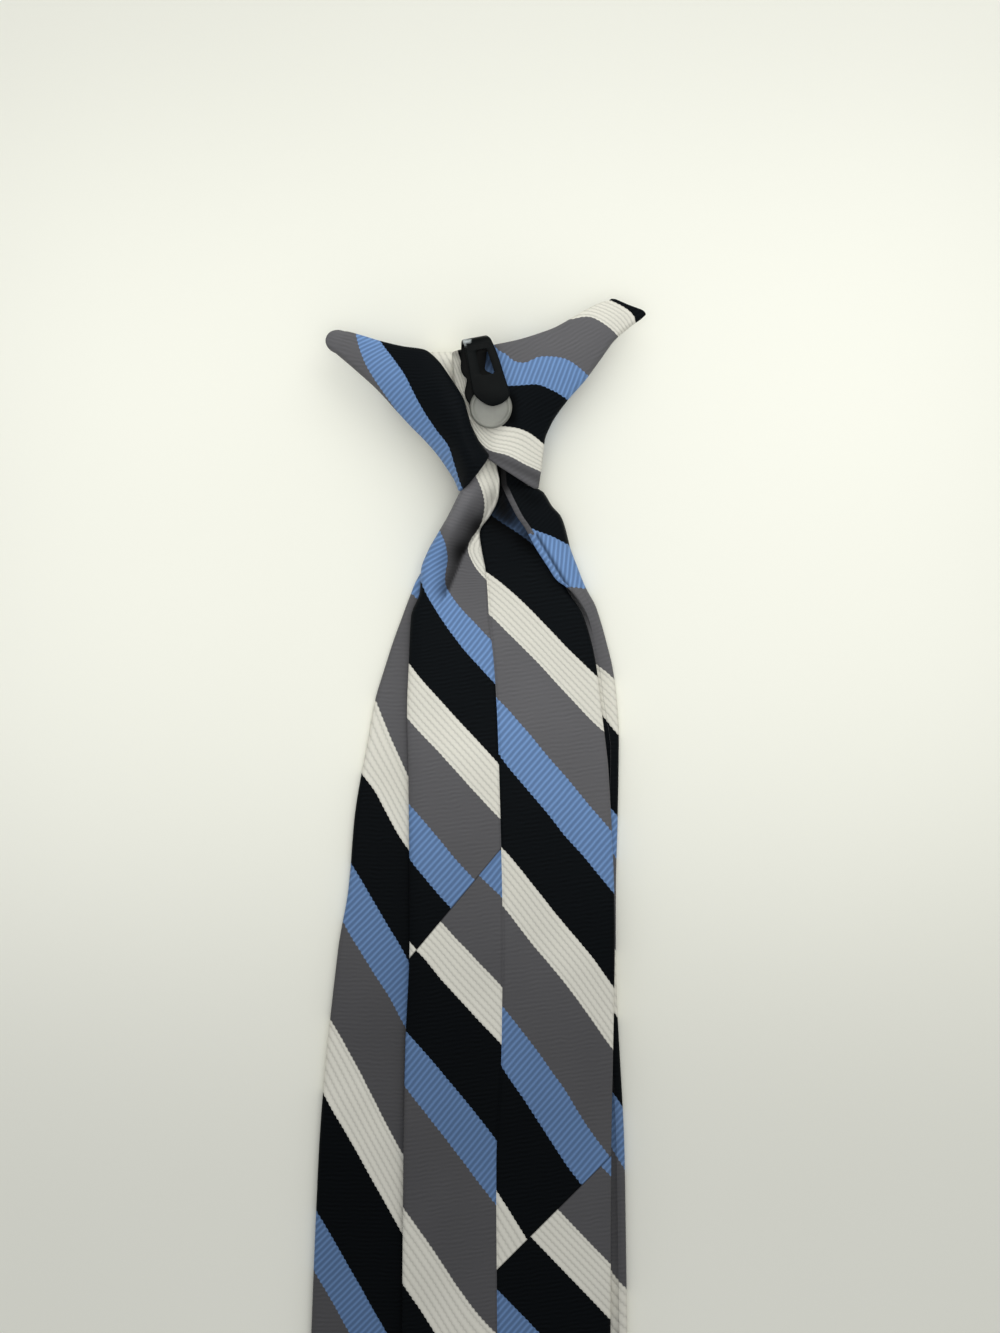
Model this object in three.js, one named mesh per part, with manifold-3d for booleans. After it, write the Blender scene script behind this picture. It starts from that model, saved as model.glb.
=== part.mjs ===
// A clip-on tie that lies face down, so that its knot's back, its clip and its folded blades look up.
// Millimetres. X runs to the right, Y up the tie towards the knot, Z away from the table.
// In the tables, x is measured from the knot's middle, down from the higher wing tip, z from the table.
import * as THREE from 'three';
import { mergeVertices } from 'three/addons/utils/BufferGeometryUtils.js';
import Module from 'manifold-3d';

const wasm = await Module();
wasm.setup();

// Driving sizes of the tie
const TIE_LENGTH = 457;
const BLADE_HALF = 45;
const BLADE_MIDDLE = -10;
const TAIL_END = 377;
const TAIL_HALF = 28.3;
const TAIL_MIDDLE = 1.3;
const POINT_HALF = 0.5;

// Thicknesses of the folded cloth
const BLADE_THICK = 3;
const TAIL_THICK = 2.8;
const COLLAPSED = 0.06;
const FLAT_TOP = BLADE_THICK + COLLAPSED;
const FLAP_STUB = 0.4;

// Spacing of the sections
const FINE_STEP = 4;
const LONG_STEP = 18;
const FINE_UNTIL = 100;

// The clip, in its own frame: v runs down the tongue from the bend, u across it, z up from its base
const CLIP = {
  x: -5.1, down: 12.4, z: 18.6, lean: 10.5, slope: 3.6,
  baseThick: 1.2, tongueThick: 1.3, gap: 2.2, tongueWide: 8, tongueLong: 18.2, bendWide: 7.4, bevel: 0.25,
};

// The round pad that the tongue presses on
const PAD = { x: -2.2, down: 29.7, z: 18.55, radius: 5.5, thick: 1.9, round: 0.7 };

// The steps round a fold: how far in from the edge, as a share of its radius, and how full it is there
const FOLD_STEPS = [[0.13, 0.5], [0.5, 0.87], [1, 1]];

// Columns of numbers that vary smoothly from row to row, found at any value of the first column
function table(columns, rows) {
  const keys = rows.map((row) => row[0]);
  const slopes = columns.map((name, c) => {
    const secants = keys.slice(1).map((key, i) => (rows[i + 1][c] - rows[i][c]) / (key - keys[i]));
    return keys.map((key, i) => {
      if (i === 0) return secants[0];
      if (i === keys.length - 1) return secants[i - 1];
      const [before, after] = [secants[i - 1], secants[i]];
      return before * after <= 0 ? 0 : (2 * before * after) / (before + after);
    });
  });
  return (key) => {
    let i = 0;
    while (i < keys.length - 2 && key > keys[i + 1]) i += 1;
    const span = keys[i + 1] - keys[i];
    const t = Math.min(Math.max((key - keys[i]) / span, 0), 1);
    const found = {};
    columns.forEach((name, c) => {
      const [start, end] = [rows[i][c], rows[i + 1][c]];
      const [leave, arrive] = [slopes[c][i] * span, slopes[c][i + 1] * span];
      const rise = end - start;
      const bend = leave + arrive - 2 * rise;
      found[name] = start + t * (leave + t * (3 * rise - 2 * leave - arrive + t * bend));
    });
    return found;
  };
}

// The places of a blade's sections: at each row, between rows that are far apart, and down the point
function stations(rows, pointStart, end) {
  const found = [];
  const keys = [...rows.map((row) => row[0]).filter((key) => key < pointStart), pointStart];
  keys.slice(1).forEach((key, i) => {
    const step = key < FINE_UNTIL ? FINE_STEP : LONG_STEP;
    const count = Math.ceil((key - keys[i]) / step);
    for (let n = 0; n < count; n += 1) found.push(keys[i] + (n / count) * (key - keys[i]));
  });
  return [...found, pointStart, (pointStart + end) / 2, end];
}

// A closed skin through rings of points, each ring with as many points as the next
function loft(rings) {
  const count = rings[0].length;
  const corners = rings.flat().flatMap((p) => [p[0], -p[1], p[2]]);
  const faces = [];
  for (let r = 0; r < rings.length - 1; r += 1) {
    for (let i = 0; i < count; i += 1) {
      const a = r * count + i;
      const b = r * count + ((i + 1) % count);
      faces.push(a, a + count, b + count, a, b + count, b);
    }
  }
  const flat = (ring) => {
    const along = new THREE.Vector2(
      ring[Math.floor(count / 2)][0] - ring[0][0],
      ring[Math.floor(count / 2)][1] - ring[0][1],
    ).normalize();
    return ring.map((p) => new THREE.Vector2(p[0] * along.x + p[1] * along.y, p[2]));
  };
  const last = (rings.length - 1) * count;
  const ends = [[rings[0], 0, false], [rings[rings.length - 1], last, true]];
  for (const [ring, first, far] of ends) {
    const outline = flat(ring);
    const turns = THREE.ShapeUtils.area(outline) > 0;
    for (const [a, b, c] of THREE.ShapeUtils.triangulateShape(outline, [])) {
      const keep = turns !== far;
      faces.push(first + a, first + (keep ? b : c), first + (keep ? c : b));
    }
  }
  const geometry = new THREE.BufferGeometry();
  geometry.setAttribute('position', new THREE.Float32BufferAttribute(corners, 3));
  geometry.setIndex(faces);
  return outward(geometry);
}

// The same skin with its faces turned outwards
function outward(geometry) {
  const p = geometry.attributes.position;
  const index = geometry.index.array;
  const [a, b, c] = [new THREE.Vector3(), new THREE.Vector3(), new THREE.Vector3()];
  let volume = 0;
  for (let i = 0; i < index.length; i += 3) {
    a.fromBufferAttribute(p, index[i]);
    b.fromBufferAttribute(p, index[i + 1]);
    c.fromBufferAttribute(p, index[i + 2]);
    volume += a.dot(b.cross(c));
  }
  if (volume < 0) {
    for (let i = 0; i < index.length; i += 3) [index[i], index[i + 2]] = [index[i + 2], index[i]];
  }
  geometry.computeVertexNormals();
  return geometry;
}

// Places across a folded strip, crowded into the two round folds at its edges
function across(width, fold, inner) {
  const near = FOLD_STEPS.map(([share]) => (share * fold) / width);
  const middle = [];
  for (let i = 1; i < inner; i += 1) middle.push(near[2] + (i / inner) * (1 - 2 * near[2]));
  return [...near, ...middle, ...near.map((t) => 1 - t).reverse()];
}

// How full a strip is at a place across it: 1 inside, falling to 0 round the folds
function fullness(t, fold) {
  const edge = Math.min(t, 1 - t) / fold;
  return edge >= 1 ? 1 : Math.sqrt(Math.max(1 - (1 - edge) ** 2, 0));
}

// The tail: left and right are its folds, seam is where its back panels meet, crest and valley the roll
// beside the knot; each z column is the height of the cloth's back there, under and over its underside
const TAIL_COLUMNS = [
  'down', 'left', 'crest', 'valley', 'seam', 'right', 'zCrest', 'zValley', 'zSeam', 'drop', 'zRight', 'under',
  'underRight',
];
const TAIL_ROWS = [
  [39.6, -7.8, -4.4, -2.2, -0.9, 4.6, 13.0, 12.8, 12.6, 4.2, 8.3, 7.2, 6.9],
  [44.3, -8.4, -4.8, -2.4, -0.9, 3.8, 14.0, 13.8, 13.6, 4.8, 8.6, 7.3, 7.0],
  [49.5, -9.4, -6.6, -2.6, -0.1, 3.0, 15.6, 14.6, 14.4, 5.4, 8.8, 7.3, 7.0],
  [53.5, -11.5, -8.2, -4.2, -0.4, 4.2, 15.9, 14.0, 13.4, 4.2, 9.5, 7.0, 6.6],
  [58.0, -13.7, -10.4, -6.2, -2.3, 6.6, 14.9, 12.4, 11.9, 3.2, 9.0, 6.4, 6.0],
  [63.2, -16.7, -13.4, -8.9, -5.5, 9.9, 13.2, 10.8, 10.6, 2.2, 8.5, 5.7, 5.4],
  [68.0, -19.4, -15.9, -10.9, -4.9, 12.6, 11.6, 9.4, 9.4, 1.5, 7.8, 5.1, 4.9],
  [73.2, -21.3, -18.6, -13.4, -3.9, 15.4, 9.9, 8.1, 8.4, 1.0, 7.1, 4.6, 4.4],
  [78.8, -21.6, -19.0, -14.3, -3.4, 18.2, 8.5, 7.4, 7.8, 0.7, 7.3, 4.1, 4.4],
  [85.6, -24.0, -20.4, -15.0, -3.0, 22.5, 7.6, 7.1, 7.4, 0.5, 7.4, 3.9, 4.7],
  [98.0, -24.6, -20.8, -15.0, -1.7, 25.8, 6.9, 6.8, 7.0, 0.4, 6.9, 3.8, 4.3],
  [111.8, -25.1, -21.0, -15.0, -0.8, 27.5, 6.5, 6.5, 6.6, 0.4, 6.5, 3.7, 3.9],
  [129.0, -24.7, -21.0, -15.0, -0.2, 29.4, 6.3, 6.3, 6.4, 0.3, 6.3, 3.5, 3.5],
  [172.0, -24.4, -21.0, -15.0, 0.7, 31.0, 6.3, 6.3, 6.4, 0.3, 6.3, 3.5, 3.5],
  [203.0, -25.6, -21.0, -15.0, 0.4, 30.5, 6.3, 6.3, 6.4, 0.3, 6.3, 3.5, 3.5],
  [233.5, -26.1, -21.0, -15.0, -1.0, 30.0, 6.3, 6.3, 6.4, 0.3, 6.3, 3.5, 3.5],
  [TAIL_END, TAIL_MIDDLE - TAIL_HALF, -21.0, -15.0, 0.6, TAIL_MIDDLE + TAIL_HALF, 6.3, 6.3, 6.4, 0.3, 6.3,
    3.5, 3.5],
];
const tailAt = table(TAIL_COLUMNS, TAIL_ROWS);

// The height of the tail's back at x, through the places that its row names
function tailTop(row, x) {
  const step = 0.35;
  const places = [
    [row.left, row.zCrest - 0.8],
    [row.crest, row.zCrest],
    [row.valley, row.zValley],
    [row.seam - step, row.zSeam],
    [row.seam + step, row.zSeam - row.drop],
    [row.right, row.zRight],
  ];
  return table(['x', 'z'], places)(x).z;
}

// The front blade: left and right are its folds, under its front face; over the tail, near the knot, its
// right-hand back panel is a flap that rises from foldTop, at the fold, to flapTop, at its inner edge
const BLADE_COLUMNS = [
  'down', 'left', 'right', 'under', 'thick', 'edge', 'flapTop', 'foldTop', 'flapThick', 'wall',
];
const BLADE_ROWS = [
  [39.6, -8.4, 6.6, 3.4, 2.9, -0.2, 11.6, 10.2, 1.4, 1.8],
  [44.3, -8.8, 7.0, 3.4, 2.9, 0.1, 12.2, 10.4, 1.4, 1.8],
  [50.6, -8.8, 7.3, 3.4, 2.9, 0.9, 13.0, 10.6, 1.4, 1.8],
  [51.6, -9.9, 10.0, 3.3, 2.9, 1.5, 13.2, 10.4, 1.4, 1.8],
  [53.5, -10.9, 11.9, 3.0, 2.9, 2.6, 13.2, 10.1, 1.4, 1.8],
  [55.9, -11.9, 14.0, 2.7, 2.9, 4.2, 13.0, 9.8, 1.4, 1.8],
  [58.6, -13.2, 16.4, 2.4, 2.9, 5.9, 12.7, 9.4, 1.4, 1.8],
  [62.1, -15.0, 17.7, 2.0, 2.9, 8.3, 12.1, 8.9, 1.4, 1.8],
  [67.0, -17.6, 18.9, 1.5, 2.9, 11.3, 11.0, 8.2, 1.4, 1.8],
  [72.1, -20.2, 20.8, 1.1, 2.9, 14.4, 9.9, 7.3, 1.4, 1.8],
  [76.0, -22.6, 22.3, 0.8, 2.9, 17.3, 9.0, 6.4, 1.4, 1.8],
  [79.2, -24.4, 23.8, 0.6, 2.9, 19.9, 7.7, 5.6, 1.2, 1.8],
  [82.6, -26.2, 25.7, 0.4, 2.9, 23.0, 5.4, 4.6, 0.8, 1.8],
  [86.4, -26.6, 27.0, 0.2, 2.9, 25.2, 3.9, 3.7, 0.3, 1.8],
  [92.1, -28.7, 28.6, 0.1, 2.9, 28.6, FLAT_TOP, FLAT_TOP, COLLAPSED / 2, 1.8],
  [100.2, -31.3, 30.5, 0, BLADE_THICK, 30.5, FLAT_TOP, FLAT_TOP, COLLAPSED / 2, 1.8],
  [108.3, -33.7, 31.5, 0, BLADE_THICK, 31.5, FLAT_TOP, FLAT_TOP, COLLAPSED / 2, 1.8],
  [117.2, -35.3, 32.1, 0, BLADE_THICK, 32.1, FLAT_TOP, FLAT_TOP, COLLAPSED / 2, 1.8],
  [139.3, -39.2, 31.8, 0, BLADE_THICK, 31.8, FLAT_TOP, FLAT_TOP, COLLAPSED / 2, 1.8],
  [159.0, -40.9, 31.3, 0, BLADE_THICK, 31.3, FLAT_TOP, FLAT_TOP, COLLAPSED / 2, 1.8],
  [175.5, -43.7, 31.3, 0, BLADE_THICK, 31.3, FLAT_TOP, FLAT_TOP, COLLAPSED / 2, 1.8],
  [233.8, -49.1, 33.7, 0, BLADE_THICK, 33.7, FLAT_TOP, FLAT_TOP, COLLAPSED / 2, 1.8],
  [TIE_LENGTH, BLADE_MIDDLE - BLADE_HALF - 1, BLADE_MIDDLE + BLADE_HALF + 1, 0, BLADE_THICK,
    BLADE_MIDDLE + BLADE_HALF + 1, FLAT_TOP, FLAT_TOP, COLLAPSED / 2, 1.8],
];
const bladeAt = table(BLADE_COLUMNS, BLADE_ROWS);

// Narrows a strip to a right-angled point that ends at the given length
function pointed(row, end, middle) {
  const reach = Math.max(end - row.down, 0) + POINT_HALF;
  const left = Math.max(row.left, middle - reach);
  const right = Math.min(row.right, middle + reach);
  const flat = { ...row, left, right };
  if ('seam' in row) {
    const share = Math.min(reach / TAIL_HALF, 1);
    for (const name of ['crest', 'valley', 'seam']) flat[name] = middle + (row[name] - middle) * share;
  }
  return flat;
}

function tailRing(down) {
  const row = pointed(tailAt(down), TAIL_END, TAIL_MIDDLE);
  const width = row.right - row.left;
  const fold = Math.min(TAIL_THICK / 2, width / 2.5);
  const over = [];
  const below = [];
  const under = (t) => row.under + t * (row.underRight - row.under);
  const half = (t) => (tailTop(row, row.left + t * width) - under(t)) / 2;
  for (const t of across(width, fold, 11)) {
    const full = fullness(t, fold / width);
    const x = row.left + t * width;
    over.push([x, down, under(t) + half(t) * (1 + full)]);
    below.unshift([x, down, under(t) + half(t) * (1 - full)]);
  }
  const edge = (t) => [row.left + t * width, down, under(t) + half(t)];
  return [edge(0), ...over, edge(1), ...below];
}

function bladeRing(down) {
  const row = pointed(bladeAt(down), TIE_LENGTH, BLADE_MIDDLE);
  const { left, right, under, flapTop, foldTop } = row;
  const top = under + row.thick;
  const width = right - left;
  const fold = Math.min(row.thick / 2, width / 5);
  const inner = right - Math.min(row.wall, width / 3);
  const edge = Math.min(row.edge, inner - Math.min(FLAP_STUB, width / 10));
  const tall = (foldTop - under) / 2;
  const bulge = Math.min(fold, tall, (right - inner) * 0.85);
  const start = right - bulge;
  const flapAt = (x) => foldTop + (flapTop - foldTop) * ((start - x) / (start - edge));
  const flapUnderAt = (x) => Math.max(flapAt(x) - row.flapThick, top + COLLAPSED / 2);
  const points = [[left, under + row.thick / 2]];
  for (const [share, full] of FOLD_STEPS) {
    points.push([left + share * fold, under + (row.thick / 2) * (1 - full)]);
  }
  for (let i = 1; i <= 6; i += 1) points.push([left + fold + (i / 7) * (width - 2 * fold), under]);
  for (const turn of [-90, -50, -15, 15, 50, 90]) {
    const angle = THREE.MathUtils.degToRad(turn);
    points.push([right - bulge * (1 - Math.cos(angle)), under + tall * (1 + Math.sin(angle))]);
  }
  for (const share of [0.35, 0.7, 0.92]) {
    const x = start + share * (edge - start);
    points.push([x, flapAt(x)]);
  }
  points.push([edge, (flapTop + flapUnderAt(edge)) / 2]);
  for (const share of [0.1, 0.5, 1]) {
    const x = edge + share * (inner - edge);
    points.push([x, flapUnderAt(x)]);
  }
  points.push([inner, (flapUnderAt(inner) + top) / 2], [inner, top]);
  for (let i = 6; i >= 1; i -= 1) points.push([left + fold + (i / 7) * (inner - left - fold), top]);
  for (const [share, full] of FOLD_STEPS.toReversed()) {
    points.push([left + share * fold, under + (row.thick / 2) * (1 + full)]);
  }
  return points.map(([x, z]) => [x, down, z]);
}

// The knot's front and sides: flat where it rests, a shoulder height at each side and a crown between them.
// pocket is 1 where the lower end is hollowed out, open at the back, for the blades to come out of
const knotAt = table(
  ['down', 'left', 'right', 'lift', 'shoulder', 'crown', 'pocket', 'wall'],
  [
    [14.4, -24.6, 19.4, 2.4, 7.0, 9.6, 0, 3.0],
    [16.2, -25.4, 19.8, 0.7, 7.6, 12.6, 0, 3.0],
    [21.9, -24.4, 18.0, 0, 7.8, 13.6, 0, 3.0],
    [30.0, -20.8, 15.3, 0, 7.8, 13.6, 0, 3.0],
    [37.4, -17.2, 11.4, 0, 7.6, 13.4, 0, 3.0],
    [38.6, -16.6, 11.1, 0, 7.6, 10.4, 1, 3.0],
    [44.3, -14.0, 10.3, 0, 7.0, 8.4, 1, 3.0],
    [48.6, -12.0, 9.9, 0.3, 6.4, 6.8, 1, 2.4],
    [50.2, -11.3, 9.7, 1.0, 6.2, 6.5, 1, 2.1],
  ],
);
const KNOT_STATIONS = [14.4, 15.2, 16.2, 18.5, 21.9, 26, 30, 34, 37.4, 38.6, 41.4, 44.3, 46.8, 48.6, 50.2];
const POCKET_FLOOR = 3;
const LIP = 1.6;
const FLAT_SHARE = 0.72;

function knotRing(down) {
  const row = knotAt(down);
  const middle = (row.left + row.right) / 2;
  const half = (row.right - row.left) / 2;
  const inside = half - row.wall;
  const off = (x) => Math.abs(x - middle) / half;
  const crownAt = (x) => row.shoulder + (row.crown - row.shoulder) * (1 - off(x) ** 2.5);
  const bottomAt = (x) => {
    const side = Math.max((off(x) - FLAT_SHARE) / (1 - FLAT_SHARE), 0);
    return row.lift + (row.shoulder - LIP - row.lift) * side ** 2;
  };
  const points = [];
  for (let i = 0; i <= 16; i += 1) {
    const x = row.left + (i / 16) * 2 * half;
    points.push([x, bottomAt(x)]);
  }
  const wallTop = (side) => {
    const places = [1, 0.96, 0.5, 0.05].map((share) => middle + side * (inside + share * row.wall));
    return places.map((x, i) => [x, i === 0 ? row.shoulder - LIP / 3 : crownAt(x)]);
  };
  points.push(...wallTop(1));
  for (const share of [0.97, 0.75, 0.5, 0.25, 0, -0.25, -0.5, -0.75, -0.97]) {
    const x = middle + share * inside;
    points.push([x, crownAt(x) * (1 - row.pocket) + POCKET_FLOOR * row.pocket]);
  }
  points.push(...wallTop(-1).reverse());
  return points.map(([x, z]) => [x, down, z]);
}

// The wings, from tip to root: each row is a section with an upper and a lower edge (x, down and the height
// of the cloth's middle), its thickness, how far its middle stands up, and how far it bows along the wing
const WING_COLUMNS = ['at', 'ux', 'ud', 'uz', 'lx', 'ld', 'lz', 'thick', 'rise', 'bow'];
const rightWingAt = table(WING_COLUMNS, [
  [0, 29.6, 0.3, 13.0, 39.4, 4.2, 12.0, 1.6, 0.2, 0.4],
  [1, 27.8, 1.0, 13.2, 38.1, 5.6, 12.2, 2.2, 0.3, 0.2],
  [2, 23.8, 2.8, 13.7, 34.8, 8.0, 12.5, 2.6, 0.4, 0],
  [3, 18.8, 5.7, 14.4, 30.8, 11.5, 12.8, 2.8, 0.5, 0],
  [4, 14.6, 8.0, 15.0, 27.0, 16.7, 12.9, 2.8, 0.7, 0],
  [5, 10.0, 9.7, 15.5, 23.0, 22.1, 12.8, 2.6, 0.9, 0],
  [6, 5.1, 11.2, 15.8, 17.8, 28.1, 12.4, 2.4, 1.1, 0],
  [7, 0.0, 12.3, 16.0, 13.9, 33.8, 11.8, 2.2, 1.4, 0],
  [8, -4.3, 13.1, 15.8, 12.1, 38.3, 11.2, 2.2, 1.8, 0],
  [9, -8.6, 13.6, 15.6, 11.6, 42.4, 10.7, 2.2, 2.2, 0],
  [10, -12.9, 15.0, 15.0, 11.1, 46.7, 10.2, 2.2, 2.6, 0],
  [11, -12.0, 26.5, 15.0, 10.7, 49.2, 9.8, 2.2, 2.5, 0.3],
  [12, -9.6, 38.0, 15.0, 10.4, 50.8, 9.4, 2.0, 2.2, 0.6],
]);
const leftWingAt = table(WING_COLUMNS, [
  [0, -45.2, 9.3, 11.6, -46.8, 12.6, 11.2, 1.8, 0.1, -0.5],
  [1, -41.9, 8.9, 12.2, -44.2, 14.9, 11.4, 2.4, 0.3, -0.3],
  [2, -37.3, 10.0, 13.2, -38.6, 19.7, 11.9, 2.8, 0.5, 0],
  [3, -32.4, 11.5, 14.4, -33.0, 24.8, 12.2, 3.0, 0.7, 0],
  [4, -26.2, 13.0, 16.0, -27.8, 30.5, 12.2, 3.0, 1.0, 0],
  [5, -20.5, 13.9, 17.4, -24.0, 34.6, 11.8, 3.0, 1.4, 0],
  [6, -17.0, 16.5, 18.2, -20.5, 38.1, 11.4, 2.9, 1.7, 0],
  [7, -13.5, 21.2, 18.9, -17.0, 42.1, 11.0, 2.8, 2.0, 0],
  [8, -9.7, 27.5, 19.1, -14.3, 45.9, 10.7, 2.8, 2.2, 0],
  [9, -7.8, 34.0, 18.9, -12.4, 48.9, 10.6, 2.8, 2.4, 0],
  [10, -5.2, 39.2, 18.8, -11.5, 51.0, 10.7, 2.8, 2.4, 0.7],
  [11, -3.0, 42.1, 18.6, -10.9, 51.9, 11.0, 2.6, 2.0, 1.4],
]);

// How late across a wing its lower edge drops
const DROOP = 2.4;

// One section of a wing; past the root it shrinks, so that the cloth turns under in a round end
function wingRing(row, shrink) {
  const run = [row.lx - row.ux, row.ld - row.ud];
  const wide = Math.hypot(run[0], run[1]);
  const ahead = [-run[1] / wide, run[0] / wide];
  const fold = Math.min(row.thick / 2, wide / 3);
  const over = [];
  const below = [];
  const place = (t, height) => {
    const curve = 4 * t * (1 - t);
    const forward = row.bow * curve + shrink.ahead;
    return [
      row.ux + t * run[0] + ahead[0] * forward,
      row.ud + t * run[1] + ahead[1] * forward,
      row.uz + t ** DROOP * (row.lz - row.uz) + row.rise * curve + height * shrink.full,
    ];
  };
  for (const t of across(wide, fold, 6)) {
    const full = fullness(t, fold / wide);
    over.push(place(t, (row.thick / 2) * full));
    below.unshift(place(t, (-row.thick / 2) * full));
  }
  return [place(0, 0), ...over, place(1, 0), ...below];
}

function wing(at, last, turn) {
  const rings = [];
  const half = at(last).thick / 2;
  for (let i = 0; i <= last * 3; i += 1) rings.push(wingRing(at(i / 3), { ahead: 0, full: 1 }));
  for (const angle of [35, 65]) {
    const bend = THREE.MathUtils.degToRad(angle);
    const row = at(last);
    rings.push(wingRing(row, { ahead: turn * half * Math.sin(bend), full: Math.cos(bend) }));
  }
  return loft(rings);
}

// A solid from a closed mesh, and a mesh from a solid
function solid(geometry) {
  const bare = geometry.clone();
  bare.deleteAttribute('normal');
  bare.deleteAttribute('uv');
  const merged = mergeVertices(bare);
  return new wasm.Manifold(new wasm.Mesh({
    numProp: 3,
    vertProperties: new Float32Array(merged.attributes.position.array),
    triVerts: new Uint32Array(merged.index.array),
  }));
}

function meshOf(body) {
  const mesh = body.getMesh();
  const geometry = new THREE.BufferGeometry();
  geometry.setAttribute('position', new THREE.BufferAttribute(mesh.vertProperties, 3));
  geometry.setIndex(new THREE.BufferAttribute(mesh.triVerts, 1));
  geometry.computeVertexNormals();
  return geometry;
}

// A plate with a bevelled rim, its outline in u and v, lying on z = 0
function plate(shape, thick, bevel) {
  const geometry = new THREE.ExtrudeGeometry(shape, {
    depth: thick - 2 * bevel, bevelThickness: bevel, bevelSize: bevel, bevelOffset: -bevel, bevelSegments: 2,
    curveSegments: 14,
  });
  return geometry.translate(0, 0, bevel);
}

// The tongue: straight sides, a round end, and a window that widens downwards
function tongueShape() {
  const half = CLIP.tongueWide / 2;
  const shape = new THREE.Shape();
  shape.moveTo(-half + 0.5, 0);
  shape.lineTo(half - 0.8, 0);
  shape.lineTo(half, -CLIP.tongueLong + half + 0.2);
  shape.absarc(0, -CLIP.tongueLong + half, half, 0, -Math.PI, true);
  shape.lineTo(-half, -CLIP.tongueLong + half + 0.2);
  const window = new THREE.Path();
  window.moveTo(-1.9, -2.4);
  window.lineTo(-1.3, -9.2);
  window.lineTo(2.2, -9.2);
  window.lineTo(2.2, -2.6);
  shape.holes.push(window);
  return shape;
}

// The base: a plate a little left of the tongue, whose foot reaches down beside the round pad
function baseShape() {
  const shape = new THREE.Shape();
  shape.moveTo(-4.9, -0.6);
  shape.lineTo(2.8, -0.6);
  shape.lineTo(2.8, -10.6);
  shape.lineTo(-1.9, -11.7);
  shape.lineTo(-3.6, -12.6);
  shape.lineTo(-5.3, -14.6);
  shape.lineTo(-6.0, -16.8);
  shape.lineTo(-6.8, -15.2);
  shape.lineTo(-5.5, -10.4);
  shape.lineTo(-6.3, -8.4);
  shape.lineTo(-5.6, -5.0);
  return shape;
}

// The bend that joins base and tongue, a half ring seen from the side
function bendGeometry() {
  const tall = CLIP.baseThick + CLIP.gap + CLIP.tongueThick;
  const outer = tall / 2;
  const inner = outer - CLIP.baseThick;
  const side = new THREE.Shape();
  side.moveTo(-1.4, 0);
  side.lineTo(0, 0);
  side.absarc(0, outer, outer, -Math.PI / 2, Math.PI / 2, false);
  side.lineTo(-1.4, tall);
  side.lineTo(-1.4, tall - CLIP.baseThick);
  side.lineTo(0, tall - CLIP.baseThick);
  side.absarc(0, outer, inner, Math.PI / 2, -Math.PI / 2, true);
  side.lineTo(-1.4, CLIP.baseThick);
  const bevel = CLIP.bevel;
  const geometry = new THREE.ExtrudeGeometry(side, {
    depth: CLIP.bendWide - 2 * bevel, bevelThickness: bevel, bevelSize: bevel, bevelOffset: -bevel,
    bevelSegments: 2, curveSegments: 10,
  });
  geometry.translate(0, 0, -CLIP.bendWide / 2 + bevel);
  return geometry.applyMatrix4(new THREE.Matrix4().makeBasis(
    new THREE.Vector3(0, 1, 0), new THREE.Vector3(0, 0, 1), new THREE.Vector3(1, 0, 0),
  ));
}

function clipGeometry() {
  const tongue = plate(tongueShape(), CLIP.tongueThick, CLIP.bevel);
  tongue.rotateX(THREE.MathUtils.degToRad(CLIP.slope));
  tongue.translate(0, 0, CLIP.baseThick + CLIP.gap);
  const base = plate(baseShape(), CLIP.baseThick, CLIP.bevel);
  return meshOf(solid(base).add(solid(bendGeometry())).add(solid(tongue)));
}

// The pad: a thick round disc with a rounded rim
function padGeometry() {
  const { radius, thick, round } = PAD;
  const profile = [
    new THREE.Vector2(0, 0),
    new THREE.Vector2(radius - 0.3, 0),
    new THREE.Vector2(radius, 0.3),
  ];
  for (const turn of [0, 30, 60, 90]) {
    const angle = THREE.MathUtils.degToRad(turn);
    profile.push(new THREE.Vector2(
      radius - round * (1 - Math.cos(angle)), thick - round * (1 - Math.sin(angle)),
    ));
  }
  profile.push(new THREE.Vector2(0, thick));
  return new THREE.LatheGeometry(profile, 32).rotateX(Math.PI / 2);
}

function piece(name, geometry, color, roughness) {
  const mesh = new THREE.Mesh(geometry, new THREE.MeshStandardMaterial({ color, roughness, metalness: 0 }));
  mesh.name = name;
  return mesh;
}

const bladeStations = stations(BLADE_ROWS, TIE_LENGTH - BLADE_HALF, TIE_LENGTH);
const tailStations = stations(TAIL_ROWS, TAIL_END - TAIL_HALF, TAIL_END);

const tie = new THREE.Group();
tie.add(piece('knot', loft(KNOT_STATIONS.map(knotRing)), '#4a4c50', 0.8));
tie.add(piece('right_wing', wing(rightWingAt, 12, 1), '#63646a', 0.8));
tie.add(piece('left_wing', wing(leftWingAt, 11, 1), '#2b2f33', 0.8));
tie.add(piece('front_blade', loft(bladeStations.map(bladeRing)), '#3d4045', 0.8));
tie.add(piece('tail', loft(tailStations.map(tailRing)), '#6d7076', 0.8));

const clip = piece('clip', clipGeometry(), '#16181a', 0.35);
clip.position.set(CLIP.x, -CLIP.down, CLIP.z);
clip.rotation.z = THREE.MathUtils.degToRad(CLIP.lean);
tie.add(clip);

const pad = piece('clip_pad', padGeometry(), '#d3d2cc', 0.3);
pad.position.set(PAD.x, -PAD.down, PAD.z);
tie.add(pad);

// The origin is the middle of the footprint, on the table
tie.updateMatrixWorld(true);
const box = new THREE.Box3().setFromObject(tie);
tie.position.set(-(box.min.x + box.max.x) / 2, -(box.min.y + box.max.y) / 2, -box.min.z);

export default tie;
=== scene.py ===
"""A clip-on tie that lies face down: striped woven cloth folded into two blades, a knot and two wings, with a
black plastic clip and a round milky pad. Lengths are in millimetres until they become mesh points, in metres.
x is measured from the knot's middle, down from the higher wing tip, z from the table."""
import functools
import math

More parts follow.
